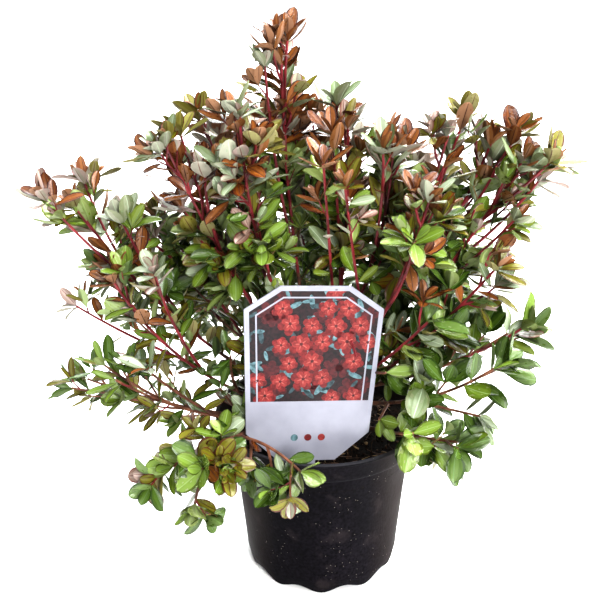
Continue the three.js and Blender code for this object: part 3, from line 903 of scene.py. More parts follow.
def makeMotif(name, shape):
    # A flat motif a millimetre in radius: a disc whose rim is drawn in and out by shape
    deselectAll()
    bpy.ops.mesh.primitive_circle_add(
        vertices=40, radius=1 * mm, fill_type="NGON", rotation=(math.pi / 2, 0, 0))
    motif = takePrimitive(name)
    for vertex in motif.data.vertices:
        vertex.co *= shape(math.atan2(vertex.co.z, vertex.co.x))
    bpy.ops.object.mode_set(mode="EDIT")
    thicken(labelPrint["layer"], labelPrint["layer"])
    return motif


def petalEdge(turn):
    return 0.55 + 0.45 * abs(math.cos(turn * labelPrint["petals"] / 2)) ** 0.7


def starEdge(turn):
    return 0.1 + 0.62 * abs(math.cos(turn * labelPrint["petals"] / 2)) ** 7


def leafEdge(turn):
    return 1 / math.sqrt(math.cos(turn) ** 2 + (math.sin(turn) / 0.34) ** 2)


def roundEdge(turn):
    return 1.0


def copyMotif(motif, x, z, size, turn, layer):
    copied = motif.copy()
    copied.data = motif.data.copy()
    place = Matrix.Translation((x * mm, -frontFace(layer) * mm, z * mm))
    copied.data.transform(place @ Matrix.Rotation(turn, 4, "Y") @ Matrix.Diagonal((size, 1, size, 1)))
    bpy.context.scene.collection.objects.link(copied)
    return copied


def insideLabel(x, z, margin):
    return all(
        (x - px) * out[0] + (z - pz) * out[1] < -margin for (px, pz), out in outlineSides())


def trimToBorder(piece):
    # Motifs that reach past the picture are cut where the white border covers their edge
    selectOnly(piece)
    bpy.ops.object.mode_set(mode="EDIT")
    inset = labelPrint["border"] * labelPrint["trimShare"]
    for (x, z), (outX, outZ) in outlineSides():
        place = ((x - outX * inset) * mm, 0, (z - outZ * inset) * mm)
        bpy.ops.mesh.select_all(action="SELECT")
        bpy.ops.mesh.bisect(plane_co=place, plane_no=(outX, 0, outZ), clear_outer=True, use_fill=True)
    bpy.ops.object.mode_set(mode="OBJECT")
    deselectAll()


def makeBlossoms():
    # Plain five-petalled flowers in offset rows, with small leaves between them and three dots below
    rng = np.random.default_rng(labelPrint["seed"])
    flower = makeMotif("flower", petalEdge)
    star = makeMotif("star", starEdge)
    blade = makeMotif("blade", leafEdge)
    dot = makeMotif("dot", roundEdge)
    sets = {kind: [] for kind in ("deep", "red", "coral", "pale", "teal", "slate")}
    lowest = labelPrint["pictureFoot"]
    jitter = labelPrint["jitter"]
    for row in range(labelPrint["rows"]):
        for column in labelPrint["columns"]:
            x = (column + 0.5 * (row % 2)) * labelPrint["columnStep"] + rng.uniform(-jitter, jitter)
            z = lowest + 2 + row * labelPrint["rowStep"] + rng.uniform(-jitter, jitter)
            size = rng.uniform(*labelPrint["flowerSize"])
            turn = rng.uniform(0, 2 * math.pi)
            if not insideLabel(x, z, 2):
                continue
            aside, below = (rng.uniform(*limits) for limits in labelPrint["behind"])
            if rng.random() < labelPrint["behindShare"]:
                sets["deep"].append(copyMotif(flower, x + aside, z + below, size * 0.95, turn + 0.5, 2))
            if rng.random() < labelPrint["gapShare"]:
                continue
            heart = (x + 0.4, z + 0.5)
            sets["red"].append(copyMotif(flower, x, z, size, turn, 3))
            sets["coral"].append(copyMotif(flower, *heart, size * 0.74, turn + 0.6, 3.7))
            sets["pale"].append(copyMotif(star, *heart, size * 0.72, turn + 0.6, 4.3))
            sets["deep"].append(copyMotif(dot, *heart, size * 0.13, turn, 5))
    for _ in range(labelPrint["blades"]):
        x = rng.uniform(-labelPrint["bladeReach"], labelPrint["bladeReach"])
        z = rng.uniform(lowest, labelShape["height"])
        if insideLabel(x, z, 2.5):
            kind = "teal" if rng.random() < labelPrint["tealShare"] else "slate"
            size = rng.uniform(*labelPrint["bladeSize"])
            sets[kind].append(copyMotif(blade, x, z, size, rng.uniform(0, 3.1), 2.4))
    for x, kind in labelPrint["dots"]:
        sets[kind].append(copyMotif(dot, x, labelPrint["dotHeight"], labelPrint["dotSize"], 0, 7))
    for motif in (flower, star, blade, dot):
        bpy.data.objects.remove(motif)
    joined = {kind: joinPieces(f"label_{kind}", copies) for kind, copies in sets.items()}
    for piece in joined.values():
        trimToBorder(piece)
    return joined


def makeLabel():
    plastic = mottledMaterial("labelPlastic", *labelFinish["plastic"], labelFinish["plasticBump"])
    inks = {}
    for kind, colors in labelFinish["inks"].items():
        row = (*colors, *labelFinish["inkMottle"], labelFinish["inkBump"])
        inks[kind] = mottledMaterial(f"ink{kind.title()}", *row)
    plate = makeLabelPlate()
    ground, line, border = makePicture()
    finished = [(plate, plastic), (ground, inks["ground"]), (line, plastic), (border, plastic)]
    finished += [(piece, inks[kind]) for kind, piece in makeBlossoms().items()]
    place = labelMatrix(mm)
    for piece, material in finished:
        piece.data.transform(place)
        finishPiece(piece, "label_plastic", [material], "label")
    smoothByAngle(plate, labelShape["smooth"])


makeLabel()
report("label")

# Growth: the source's shoots and its seeded rule, in millimetres, carried on to finer twigs and real leaves
trunk = {
    "foot": 108.3, "height": 16, "dome": 4, "arm": 7, "armSwell": 1.2,
    # share of the height, and radius
    "profile": [(0, 11), (0.07, 9.6), (0.2, 8), (0.5, 7), (0.8, 6.5), (1, 6.2)],
    "topRadius": 6.2,
}
limb = {"trunkEndRadius": 2.6, "forkEndRadius": 2.2, "tipRadius": 0.8}
lineSteps = 12
sourceLeaf = {"length": 35, "width": 17}
stemLeaf = {
    "spacing": 14, "firstShare": 0.03, "lastShare": 0.93, "shareSpread": 0.02, "angle": 66,
    "angleSpread": 10, "smallest": 0.95, "sizeRange": 0.25, "turnFrom": 60,
}
sourceTwig = {
    "spacing": 20, "length": 34, "shortest": 0.55, "lengthSpread": 0.15, "firstShare": 0.12,
    "lastShare": 0.84, "angle": 50, "angleSpread": 8, "turnSpread": 15, "rise": 0.25, "hang": -0.5,
    "hangsBelow": 135,
}
growth = {
    "goldenTurn": 137.5, "margin": 0.7, "limbClear": 1.2, "labelClear": 5, "soilClear": 6,
    "rimClear": 15, "reach": 58.5, "tries": 4, "leafRetryTurn": 115, "twigRetryTurn": 125,
    "shrink": 0.86,
}
# Room that the pot, the peat and the label take, with the space through which the label is seen
room = {
    "peat": 108, "rimRadius": 75, "rimHeight": 120, "labelHalf": 45, "seenFrom": 8, "seenSlope": 0.45,
    "cornerHalf": 19, "cornerSlope": 20 / 22, "leftCorner": 7,
}
# name, what it forks from, the fork's share, the tip's turn, its distance out and up, sag, bare share
shootRows = [
    ("leader", "trunk", 1, 180, 24, 374, 6, 0.4),
    ("front_leader", "leader", 0.35, 226, 67, 340, 14, 0.35),
    ("high_left", "trunk", 0.9, 197, 98, 317, 5, 0.4),
    ("high_left_back", "high_left", 0.5, 165, 83, 323, -6, 0.3),
    ("left", "trunk", 0.6, 182, 159, 272, 16, 0.4),
    ("left_middle", "left", 0.5, 164, 126, 244, -10, 0.3),
    ("left_front", "trunk", 0.5, 199, 137, 235, 20, 0.42),
    ("low_left", "trunk", 0.3, 204, 143, 173, 13, 0.48),
    ("low_left_back", "low_left", 0.35, 184, 162, 149, 6, 0.42),
    ("front_left", "trunk", 0.3, 226, 131, 132, -7, 0.64),
    ("front", "front_left", 0.97, 263, 98, 130, -6, 0.2),
    ("right", "trunk", 0.8, 356, 127, 303, 7, 0.4),
    ("right_high", "right", 0.7, 8, 111, 307, 4, 0.25),
    ("high_right", "right", 0.4, 4, 81, 315, 4, 0.3),
    ("front_right", "trunk", 0.9, 320, 84, 291, 9, 0.4),
    ("front_low", "front_right", 0.2, 316, 91, 216, 3, 0.45),
    ("right_middle", "trunk", 0.5, 336, 118, 246, 6, 0.4),
    ("right_side", "right_middle", 0.6, 347, 125, 192, 6, 0.3),
    ("right_front", "right_middle", 0.3, 328, 126, 186, 10, 0.4),
    ("low_right", "trunk", 0.3, 320, 113, 137, 2, 0.55),
    ("centre", "trunk", 1, 340, 18, 322, 6, 0.4),
    ("centre_right", "centre", 0.5, 350, 46, 306, 8, 0.3),
    ("back_high", "trunk", 0.9, 95, 64, 314, 8, 0.4),
    ("back_low", "back_high", 0.35, 92, 126, 212, 8, 0.4),
    ("back_left", "trunk", 0.7, 136, 119, 274, 10, 0.4),
    ("back_left_low", "back_left", 0.4, 140, 148, 187, 10, 0.42),
    ("back_right", "trunk", 0.7, 52, 121, 270, 10, 0.4),
    ("back_right_low", "back_right", 0.4, 40, 147, 192, 10, 0.42),
]
up = np.array([0.0, 0.0, 1.0])


def stream(*keys):
    state = 20261
    for key in keys:
        state = (state * 16807 + key * 7919 + 101) % 2147483647

    def draw():
        nonlocal state
        state = state * 16807 % 2147483647
        return state / 2147483647

    for _ in range(3):
        draw()
    return draw


def spread(draw, most):
    return (draw() * 2 - 1) * most


def mix(low, high, share):
    return low + (high - low) * share


def curvePoint(shoot, t):
    start, middle, tip = shoot["curve"]
    return (1 - t) ** 2 * start + 2 * (1 - t) * t * middle + t * t * tip


def curveWay(shoot, t):
    start, middle, tip = shoot["curve"]
    return unit((1 - t) * (middle - start) + t * (tip - middle))


def growShoots():
    grown = {}
    for index, (name, parentName, fork, turn, out, high, sag, bare) in enumerate(shootRows):
        onTrunk = parentName == "trunk"
        if onTrunk:
            start = np.array([0, 0, trunk["foot"] + trunk["height"] * fork])
        else:
            parent = grown[parentName]
            start = curvePoint(parent, parent["bare"] * fork)
        turn = math.radians(turn)
        outwards = np.array([math.cos(turn), math.sin(turn), 0])
        tip = outwards * out + up * high
        chord = tip - start
        rise = math.atan2(chord[2], math.hypot(chord[0], chord[1]))
        sagging = outwards * 2 * sag * math.sin(rise) - up * 2 * sag * math.cos(rise)
        shoot = {"name": name, "index": index, "onTrunk": onTrunk, "bare": bare, "high": high}
        shoot["curve"] = (start, (start + tip) / 2 + sagging, tip)
        fine = np.array([curvePoint(shoot, i / 200) for i in range(201)])
        shoot["length"] = float(np.linalg.norm(np.diff(fine, axis=0), axis=1).sum())
        shoot["startShare"] = (trunk["topRadius"] + trunk["arm"]) / shoot["length"] if onTrunk else 0
        shoot["radius"] = limb["trunkEndRadius"] if onTrunk else limb["forkEndRadius"]
        shoot["line"] = np.array([curvePoint(shoot, i / lineSteps) for i in range(lineSteps + 1)])
        shoot["lineBare"] = math.floor(bare * lineSteps)
        grown[name] = shoot
    return grown


grown = growShoots()
shootList = list(grown.values())
lineStarts = np.array([shoot["line"][:-1] for shoot in shootList])
lineSteps3d = np.array([np.diff(shoot["line"], axis=0) for shoot in shootList])
lineSquares = (lineSteps3d**2).sum(2)
lineRanks = np.arange(lineSteps)[None]
lineBares = np.array([shoot["lineBare"] for shoot in shootList])[:, None]
boughPart = lineRanks <= lineBares
stemPart = lineRanks >= lineBares


def limbDistances(point):
    # From a point to each shoot's bough, and to each shoot's stem
    share = ((point - lineStarts) * lineSteps3d).sum(2) / lineSquares
    nearest = lineStarts + lineSteps3d * np.clip(share, 0, 1)[..., None]
    apart = np.linalg.norm(nearest - point, axis=2)
    return np.where(boughPart, apart, np.inf).min(1), np.where(stemPart, apart, np.inf).min(1)


fromLabel = np.array(labelMatrix(1).inverted())


def stillDistance(points, cutCorners=False):
    # From each point to the pot, the peat and the label, with the room before the label as taken
    points = np.atleast_2d(points)
    out = np.hypot(points[:, 0], points[:, 1])
    height = points[:, 2]
    rim = room["rimRadius"]
    overPeat = np.minimum(height - room["peat"] - growth["soilClear"], rim - growth["rimClear"] - out)
    beside = np.hypot(np.maximum(out - rim, 0), np.maximum(height - room["rimHeight"], 0))
    fromPot = np.where((height < room["rimHeight"]) & (out < rim), overPeat, beside)
    across, behind, rise = (points @ fromLabel[:3, :3].T + fromLabel[:3, 3]).T
    aside = np.maximum(np.abs(across) - room["labelHalf"], 0)
    seen = rise + room["seenSlope"] * np.minimum(behind, 0)
    edge = 0
    if cutCorners:
        edge = np.maximum(np.abs(across) - room["cornerHalf"], 0) * room["cornerSlope"]
        edge = edge + np.where(across < 0, room["leftCorner"], 0)
    before = (behind < 0) & (seen > room["seenFrom"] + edge)
    depth = np.where(before, 0, behind)
    over = np.maximum(seen - labelShape["height"], 0)
    fromPlate = np.sqrt(depth**2 + aside**2 + over**2)
    return np.minimum(fromPot, fromPlate - growth["labelClear"])


def isOwn(shoot, point):
    fromBough, fromStem = limbDistances(point)
    index = shoot["index"]
    own = fromStem[index]
    if own > growth["reach"] or stillDistance(point)[0] < growth["limbClear"]:
        return False
    if fromBough.min() < limb["trunkEndRadius"] + growth["limbClear"]:
        return False
    others = np.delete(fromStem, index)
    return bool(others.min() >= own + growth["margin"] * 2)


def outFrom(along, turn, angle):
    side = np.cross(along, up)
    side = np.array([1.0, 0, 0]) if np.linalg.norm(side) < 0.1 else unit(side)
    turn = math.radians(turn)
    turned = side * math.cos(turn) + np.cross(along, side) * math.sin(turn)
    turned += along * along.dot(side) * (1 - math.cos(turn))
    angle = math.radians(angle)
    return along * math.cos(angle) + turned * math.sin(angle)


leafChecks = [
    (0.2, 0), (0.58, 0), (0.85, 0), (0.35, 0.25), (0.35, -0.25), (0.58, 0.55), (0.58, -0.55),
    (0.8, 0.3), (0.8, -0.3), (1.05, 0),
]
twigChecks = (0.15, 0.3, 0.5, 0.75, 1)


def sourceLeafFits(shoot, root, along, face, size):
    across = unit(np.cross(face, along))
    return all(
        isOwn(shoot, root + along * x * sourceLeaf["length"] * size + across * y * sourceLeaf["width"] * size)
        for x, y in leafChecks)


def sourceStemLeaves(shoot, firstTurn, draw):
    # Where the source grows a leaf from the stem: each becomes a spray here
    found = []
    count = round((stemLeaf["lastShare"] - shoot["bare"]) * shoot["length"] / stemLeaf["spacing"])
    for i in range(count):
        evenly = mix(shoot["bare"] + stemLeaf["firstShare"], stemLeaf["lastShare"], (i + 0.5) / count)
        t = evenly + spread(draw, stemLeaf["shareSpread"])
        along = curveWay(shoot, t)
        size = stemLeaf["smallest"] + draw() * stemLeaf["sizeRange"]
        angle = stemLeaf["angle"] + spread(draw, stemLeaf["angleSpread"])
        for tries in range(growth["tries"]):
            turn = firstTurn + stemLeaf["turnFrom"] + i * growth["goldenTurn"]
            turn += tries * growth["leafRetryTurn"]
            way = outFrom(along, turn, angle)
            root = curvePoint(shoot, t)
            shrunk = size * growth["shrink"] ** tries
            if sourceLeafFits(shoot, root, way, along, shrunk):
                found.append((t, root, way, sourceLeaf["length"] * shrunk))
                break
    return found


def sourceTwigs(shoot, firstTurn):
    # Where the source grows a twig from the stem, and how long it is
    found = []
    lift = sourceTwig["hang"] if shoot["high"] < sourceTwig["hangsBelow"] else sourceTwig["rise"]
    count = round((1 - shoot["bare"]) * shoot["length"] / sourceTwig["spacing"])
    for i in range(count):
        draw = stream(shoot["index"], 2, i)
        rank = i / max(count - 1, 1)
        t = mix(shoot["bare"], 1, mix(sourceTwig["firstShare"], sourceTwig["lastShare"], rank))
        full = sourceTwig["length"] * mix(1, sourceTwig["shortest"], rank)
        full *= 1 + spread(draw, sourceTwig["lengthSpread"])
        root = curvePoint(shoot, t)
        for tries in range(growth["tries"]):
            turn = firstTurn + i * growth["goldenTurn"] + tries * growth["twigRetryTurn"]
            turn += spread(draw, sourceTwig["turnSpread"])
            angle = sourceTwig["angle"] + spread(draw, sourceTwig["angleSpread"])
            way = unit(outFrom(curveWay(shoot, t), turn, angle) + up * lift)
            length = full * growth["shrink"] ** tries
            if all(isOwn(shoot, root + way * length * share) for share in twigChecks):
                found.append((t, root, way, length))
                break
    return found


# Bark: a fused trunk, and boughs with rings and ridges
bark = {
    "trunkSides": 32,
    "armSides": 12,
    "armRings": 8,
    "armIn": 0.4,
    "voxel": 0.55 * mm,
    "smoothing": {"factor": 0.5, "iterations": 4},
    "lumps": ((2.5 * mm, 0.9 * mm), (0.9 * mm, 0.4 * mm)),  # size, strength
    "lumpLevel": 0.55,
    "sides": 12,
    "step": 1.6,
    "ridge": 0.07,
    "ring": 0.06,
    "endRadius": 1.15,
    "slim": 0.88,
    "smooth": 60,
    "seed": 3,
}
oldBarkRow = ((0.045, 0.018, 0.011), (0.17, 0.07, 0.038), 220, (0.6, 0.85), 0.5)
oldBarkRelief = {"strength": 0.6, "distance": 0.0008, "scale": 500, "stretch": (1, 1, 0.4)}


def ridgesFor(rng, rings, sides):
    turns = np.arange(sides) * 2 * math.pi / sides
    along = np.arange(rings)[:, None]
    grooves = sum(
        np.sin(turns * k + rng.uniform(0, 6.3) + along * rng.uniform(-0.06, 0.06)) for k in (2, 3, 5)) / 3
    rough = rng.normal(0, 0.4, (rings, sides))
    swells = np.sin(along * rng.uniform(0.25, 0.4) + rng.uniform(0, 6.3))
    return 1 + bark["ridge"] * (grooves + rough) + bark["ring"] * swells


def makeTrunk():
    height = trunk["height"]
    rings = [(radius * mm, (trunk["foot"] + share * height) * mm) for share, radius in trunk["profile"]]
    rings.append((3 * mm, (trunk["foot"] + height + trunk["dome"] * 0.8) * mm))
    stump = turnPiece("trunk_bark", rings, bark["trunkSides"])
    arms = TubeSet()
    count = bark["armRings"]
    for shoot in shootList:
        if shoot["onTrunk"]:
            shares = np.linspace(0, shoot["startShare"] + bark["armIn"] / shoot["length"], count)
            path = [curvePoint(shoot, t) for t in shares]
            radii = np.linspace(shoot["radius"] * trunk["armSwell"], shoot["radius"] * 1.02, count)
            arms.add(path, radii, bark["armSides"])
    stump = joinPieces("trunk_bark", [stump, arms.build("arms")])
    applyModifier(stump, "REMESH", mode="VOXEL", voxel_size=bark["voxel"])
    applyModifier(stump, "SMOOTH", **bark["smoothing"])
    for size, strength in bark["lumps"]:
        clouds = bpy.data.textures.new("barkLumps", "CLOUDS")
        clouds.noise_scale = size
        applyModifier(stump, "DISPLACE", texture=clouds, strength=strength, mid_level=bark["lumpLevel"])
    smoothByAngle(stump, bark["smooth"])
    return stump


def makeBoughs():
    rng = np.random.default_rng(bark["seed"])
    boughs = TubeSet()
    for shoot in shootList:
        span = shoot["bare"] - shoot["startShare"]
        rings = max(int(span * shoot["length"] / bark["step"]), 8)
        shares = np.linspace(0, 1, rings)
        path = [curvePoint(shoot, shoot["startShare"] + span * share) for share in shares]
        radii = mix(shoot["radius"] * bark["slim"], bark["endRadius"], shares)
        boughs.add(path, radii, bark["sides"], 0, ridgesFor(rng, rings, bark["sides"]))
    piece = boughs.build("bough_bark")
    smoothByAngle(piece, bark["smooth"])
    return piece


oldBark = mottledMaterial("oldBark", *oldBarkRow, oldBarkRelief)
finishPiece(makeTrunk(), "bark", [oldBark], "trunk")
finishPiece(makeBoughs(), "bark", [oldBark], *[f"bough_{shoot['name']}" for shoot in shootList])
report("trunk and boughs")

# Leaves: kinds by colour. Each has three tints for each face, as a rule from dark to light, and a colour for
# margin and rib.
leafKinds = {
    "dark": {
        "top": [(0.026, 0.049, 0.004), (0.046, 0.082, 0.009), (0.068, 0.114, 0.02)],
        "under": [(0.05, 0.075, 0.02), (0.07, 0.105, 0.03), (0.1, 0.14, 0.055)],
        "margin": (0.02, 0.042, 0.004), "rib": (0.08, 0.135, 0.04), "gloss": 0.18,
    },
    "mid": {
        "top": [(0.077, 0.119, 0.01), (0.108, 0.162, 0.02), (0.14, 0.206, 0.04)],
        "under": [(0.105, 0.133, 0.035), (0.142, 0.173, 0.06), (0.176, 0.208, 0.095)],
        "margin": (0.055, 0.076, 0.008), "rib": (0.17, 0.235, 0.08), "gloss": 0.2,
    },
    "lime": {
        "top": [(0.137, 0.181, 0.02), (0.176, 0.228, 0.04), (0.217, 0.275, 0.085)],
        "under": [(0.16, 0.205, 0.06), (0.2, 0.25, 0.095), (0.235, 0.285, 0.14)],
        "margin": (0.1, 0.13, 0.015), "rib": (0.24, 0.32, 0.13), "gloss": 0.22,
    },
    # painted sheen: grey-green leaves whose colour stands for the light the glossy leaves reflect
    "paintedSheen": {
        "top": [(0.125, 0.165, 0.08), (0.17, 0.21, 0.125), (0.225, 0.26, 0.185)],
        "under": [(0.14, 0.16, 0.085), (0.185, 0.2, 0.13), (0.245, 0.25, 0.195)],
        "margin": (0.11, 0.13, 0.06), "rib": (0.3, 0.36, 0.26), "gloss": 0.2,
    },
    "olive": {
        "top": [(0.074, 0.068, 0.005), (0.109, 0.101, 0.008), (0.143, 0.134, 0.018)],
        "under": [(0.112, 0.1, 0.016), (0.149, 0.134, 0.032), (0.194, 0.177, 0.08)],
        "margin": (0.06, 0.018, 0.004), "rib": (0.06, 0.018, 0.005), "gloss": 0.22,
    },
    "bronze": {
        "top": [(0.075, 0.018, 0.003), (0.12, 0.038, 0.006), (0.17, 0.062, 0.013)],
        "under": [(0.115, 0.038, 0.01), (0.168, 0.07, 0.021), (0.235, 0.13, 0.075)],
        "margin": (0.028, 0.005, 0.003), "rib": (0.034, 0.006, 0.004), "gloss": 0.26,
    },
    "blush": {
        "top": [(0.18, 0.115, 0.085), (0.25, 0.185, 0.155), (0.2, 0.2, 0.15)],
        "under": [(0.25, 0.185, 0.16), (0.31, 0.25, 0.225), (0.27, 0.255, 0.21)],
        "margin": (0.11, 0.035, 0.028), "rib": (0.13, 0.05, 0.04), "gloss": 0.28,
    },
    "old": {
        "top": [(0.27, 0.11, 0.008), (0.3, 0.22, 0.02), (0.2, 0.07, 0.01)],
        "under": [(0.2, 0.1, 0.03), (0.28, 0.18, 0.09), (0.22, 0.1, 0.03)],
        "margin": (0.14, 0.045, 0.008), "rib": (0.18, 0.07, 0.015), "gloss": 0.3,
    },
}
leafForm = {
    # share of the length, and width
    "outline": np.array([
        (0, 0.1), (0.09, 0.16), (0.24, 0.58), (0.43, 0.93), (0.63, 1), (0.82, 0.82), (0.945, 0.48), (1, 0.09),
    ]),
    "across": np.array([-1, -0.77, -0.42, -0.055, 0.055, 0.42, 0.77, 1]),
    "inner": slice(2, 6),  # those of them that have a point on the underside too
    "bendFrom": 0.15,
    "foldDepth": 1.6,
    "foldRound": 0.45,
    "groove": 0.05,
    "ribHalf": 0.1,
    "quilt": 0.07,
    "quiltAt": 0.42,
    "thickness": 0.3,
    "twistSpread": 0.25,
    "lopSpread": 0.06,
    "smooth": 70,
    "pieceLimit": 1000,
}


class Foliage:
    # Leaves and red stems while they grow, in millimetres
    def __init__(self):
        self.leaves = {kind: [] for kind in leafKinds}
        self.stems = TubeSet()
        self.owner = -1

    def addLeaf(self, kind, root, along, face, length, width, bend, fold, rng):
        tint = int(rng.integers(3))
        twist = rng.normal(0, leafForm["twistSpread"])
        lop = rng.normal(0, leafForm["lopSpread"])
        values = (length, width, bend, fold, twist, lop, tint, self.owner)
        self.leaves[kind].append((*root, *along, *face, *values))

    def addStem(self, path, ends, kind):
        self.stems.add(path, np.linspace(*ends, len(path)), 6, kind)


foliage = Foliage()
stemKinds = {"red": 0, "green": 1, "brown": 2}

# Parts of the crown: the first row whose limits in x, y and z hold, and otherwise the dome
far = 1000
regions = [
    ("lowRight", (50, far), (-far, 60), (-far, 225)),
    ("front", (-far, far), (-far, -55), (-far, 165)),
    ("lowLeft", (-far, -50), (-far, 40), (-far, 200)),
    ("top", (-far, -45), (-far, far), (275, far)),
    ("top", (-far, far), (30, far), (275, far)),
    ("top", (-far, far), (-far, far), (305, far)),
    ("edge", (-far, -65), (-far, far), (225, far)),
    ("edge", (65, far), (-far, far), (225, far)),
]
styleColumns = ("size", "broad", "outer", "inner", "sprays", "spacing", "first")
placeRows = {
    # size and breadth of the leaves, the most in each whorl, share of sprays that stay, spacing of single
    # leaves, and where they start on a main stem
    "dome": (0.99, 1, 5, 3, 1, 0.95, 0.25),
    "top": (1.1, 1.06, 5, 3, 0.85, 1.05, 0.25),
    "edge": (1.02, 1.02, 5, 3, 0.6, 1.3, 0.25),
    "lowRight": (1.1, 1.12, 3, 1, 0.1, 2.9, 0.25),
    "lowLeft": (1.02, 0.7, 3, 1, 0.15, 1.9, 0.25),
    "front": (0.88, 1.24, 4, 1, 0.7, 0.8, 0),
}
placeStyles = {name: dict(zip(styleColumns, row)) for name, row in placeRows.items()}
kindShares = {
    "lowRight": {"dark": 0.42, "mid": 0.34, "lime": 0.12, "paintedSheen": 0.06, "olive": 0.04, "blush": 0.02},
    "lowLeft": {
        "mid": 0.27, "olive": 0.32, "lime": 0.03, "dark": 0.24, "paintedSheen": 0.03, "bronze": 0.07,
        "blush": 0.04,
    },
    "front": {
        "mid": 0.25, "olive": 0.28, "lime": 0.03, "dark": 0.28, "paintedSheen": 0.03, "bronze": 0.07,
        "blush": 0.06,
    },
    "top": {"bronze": 0.58, "blush": 0.24, "olive": 0.12, "paintedSheen": 0.06},
    # in the dome and at its edge, from the shoots' tips inwards
    "tip": {"bronze": 0.68, "blush": 0.18, "olive": 0.1, "paintedSheen": 0.04},
    "young": {"bronze": 0.22, "olive": 0.21, "blush": 0.21, "mid": 0.12, "lime": 0.14, "paintedSheen": 0.1},
    "grown": {
        "olive": 0.18, "mid": 0.3, "lime": 0.24, "dark": 0.06, "paintedSheen": 0.11, "blush": 0.08,
        "bronze": 0.03,
    },
    "inner": {"dark": 0.18, "mid": 0.37, "lime": 0.22, "paintedSheen": 0.07, "olive": 0.13, "bronze": 0.03},
}
youngest = {"tip": 0.82, "young": 0.58, "grown": 0.36}  # youth above which each of these begins
kindSize = {
    "dark": 1.05, "mid": 1, "lime": 1, "paintedSheen": 1, "olive": 0.98, "bronze": 0.95, "blush": 0.82, "old": 0.9,
}
olderKinds = {
    "bronze": ("olive", "blush", "paintedSheen"), "blush": ("olive", "paintedSheen"), "olive": ("mid", "olive"),
    "lime": ("mid",), "mid": ("mid", "dark"), "paintedSheen": ("paintedSheen", "mid"), "dark": ("dark", "dark"),
    "old": ("mid", "old"),
}
leaderTaper = ((300, 372), (1, 0.86))  # heights, and the leaves' size there
whorls = {
    # angles from the stem when old and young, how far the roots sink below the tip, bend and its spread, fold
    "outer": {
        "offset": 0, "turnSpread": 10, "angle": (62, 54), "angleSpread": 12, "length": (0.85, 1.15),
        "sink": (0.5, 3), "width": (0.4, 0.48), "bend": (-0.12, 0.35), "fold": (0.1, 0.45),
    },
    "inner": {
        "offset": 0.5, "turnSpread": 9, "angle": (30, 30), "angleSpread": 8, "length": (0.58, 0.85),
        "sink": None, "width": (0.42, 0.5), "bend": (0, 0.3), "fold": (0.25, 0.55),
    },
}
rosette = {"olderShare": 0.6, "youngAbove": 0.8, "youngWidth": 0.96, "oldWidth": 1.1, "lift": 0.35}
singleLeaf = {
    "length": (0.8, 1.2), "width": (0.5, 0.6), "narrows": 0.11, "bend": 0.1, "unbends": 0.3,
    "bendSpread": 0.33, "fold": (0.05, 0.4), "lift": 0.5, "angle": 53, "angleSpread": 11, "turnSpread": 12,
    "oldBelow": 0.5, "oldShare": 0.01,
}


def placeName(point):
    for name, *limits in regions:
        if all(low < value < high for value, (low, high) in zip(point, limits)):
            return name
    return "dome"


def sizeAt(point):
    # Leaves get smaller towards the top of the leader
    return float(np.interp(point[2], *leaderTaper))


def chooseKind(rng, youth, place):
    # The colour of a spray, from old inner leaves to the young ones at the shoots' tips
    if place in ("dome", "edge"):
        place = next((name for name, least in youngest.items() if youth > least), "inner")
    shares = kindShares[place]
    return list(shares)[int(rng.choice(len(shares), p=list(shares.values())))]


def growWhorl(rng, form, count, kind, tip, along, firstTurn, youth, size, broad):
    for i in range(count):
        turn = firstTurn + (i + form["offset"]) * 360 / count + rng.normal(0, form["turnSpread"])
        way = outFrom(along, turn, mix(*form["angle"], youth) + rng.normal(0, form["angleSpread"]))
        length = size * rng.uniform(*form["length"])
        root = tip - along * rng.uniform(*form["sink"]) if form["sink"] else tip
        width = length * rng.uniform(*form["width"]) * broad
        bend = rng.normal(*form["bend"])
        fold = rng.uniform(*form["fold"])
        foliage.addLeaf(kind, root, way, along + up * rosette["lift"], length, width, bend, fold, rng)


def growRosette(rng, tip, along, youth, size, outer, inner):
    # An outer whorl that spreads and an inner one that stands up
    place = placeName(tip)
    style = placeStyles[place]
    kind = chooseKind(rng, youth, place)
    older = olderKinds[kind]
    outerKind = older[int(rng.integers(len(older)))] if rng.random() < rosette["olderShare"] else kind
    size = size * style["size"] * kindSize[kind] * sizeAt(tip)
    broad = style["broad"] * rosette["youngWidth" if youth > rosette["youngAbove"] else "oldWidth"]
    shared = (tip, along, rng.uniform(0, 360), youth, size, broad)
    growWhorl(rng, whorls["outer"], min(outer, style["outer"]), outerKind, *shared)
    growWhorl(rng, whorls["inner"], min(inner, style["inner"]), kind, *shared)


def growLeaf(rng, root, way, along, youth, size):
    form = singleLeaf
    place = placeName(root)
    style = placeStyles[place]
    kind = chooseKind(rng, youth, place)
    if youth < form["oldBelow"] and rng.random() < form["oldShare"]:
        kind = "old"
    length = size * rng.uniform(*form["length"]) * style["size"] * kindSize[kind] * sizeAt(root)
    width = length * (rng.uniform(*form["width"]) - form["narrows"] * youth) * style["broad"]
    bend = rng.normal(form["bend"] - form["unbends"] * youth, form["bendSpread"])
    fold = rng.uniform(*form["fold"])
    foliage.addLeaf(kind, root, way, along + up * form["lift"], length, width, bend, fold, rng)


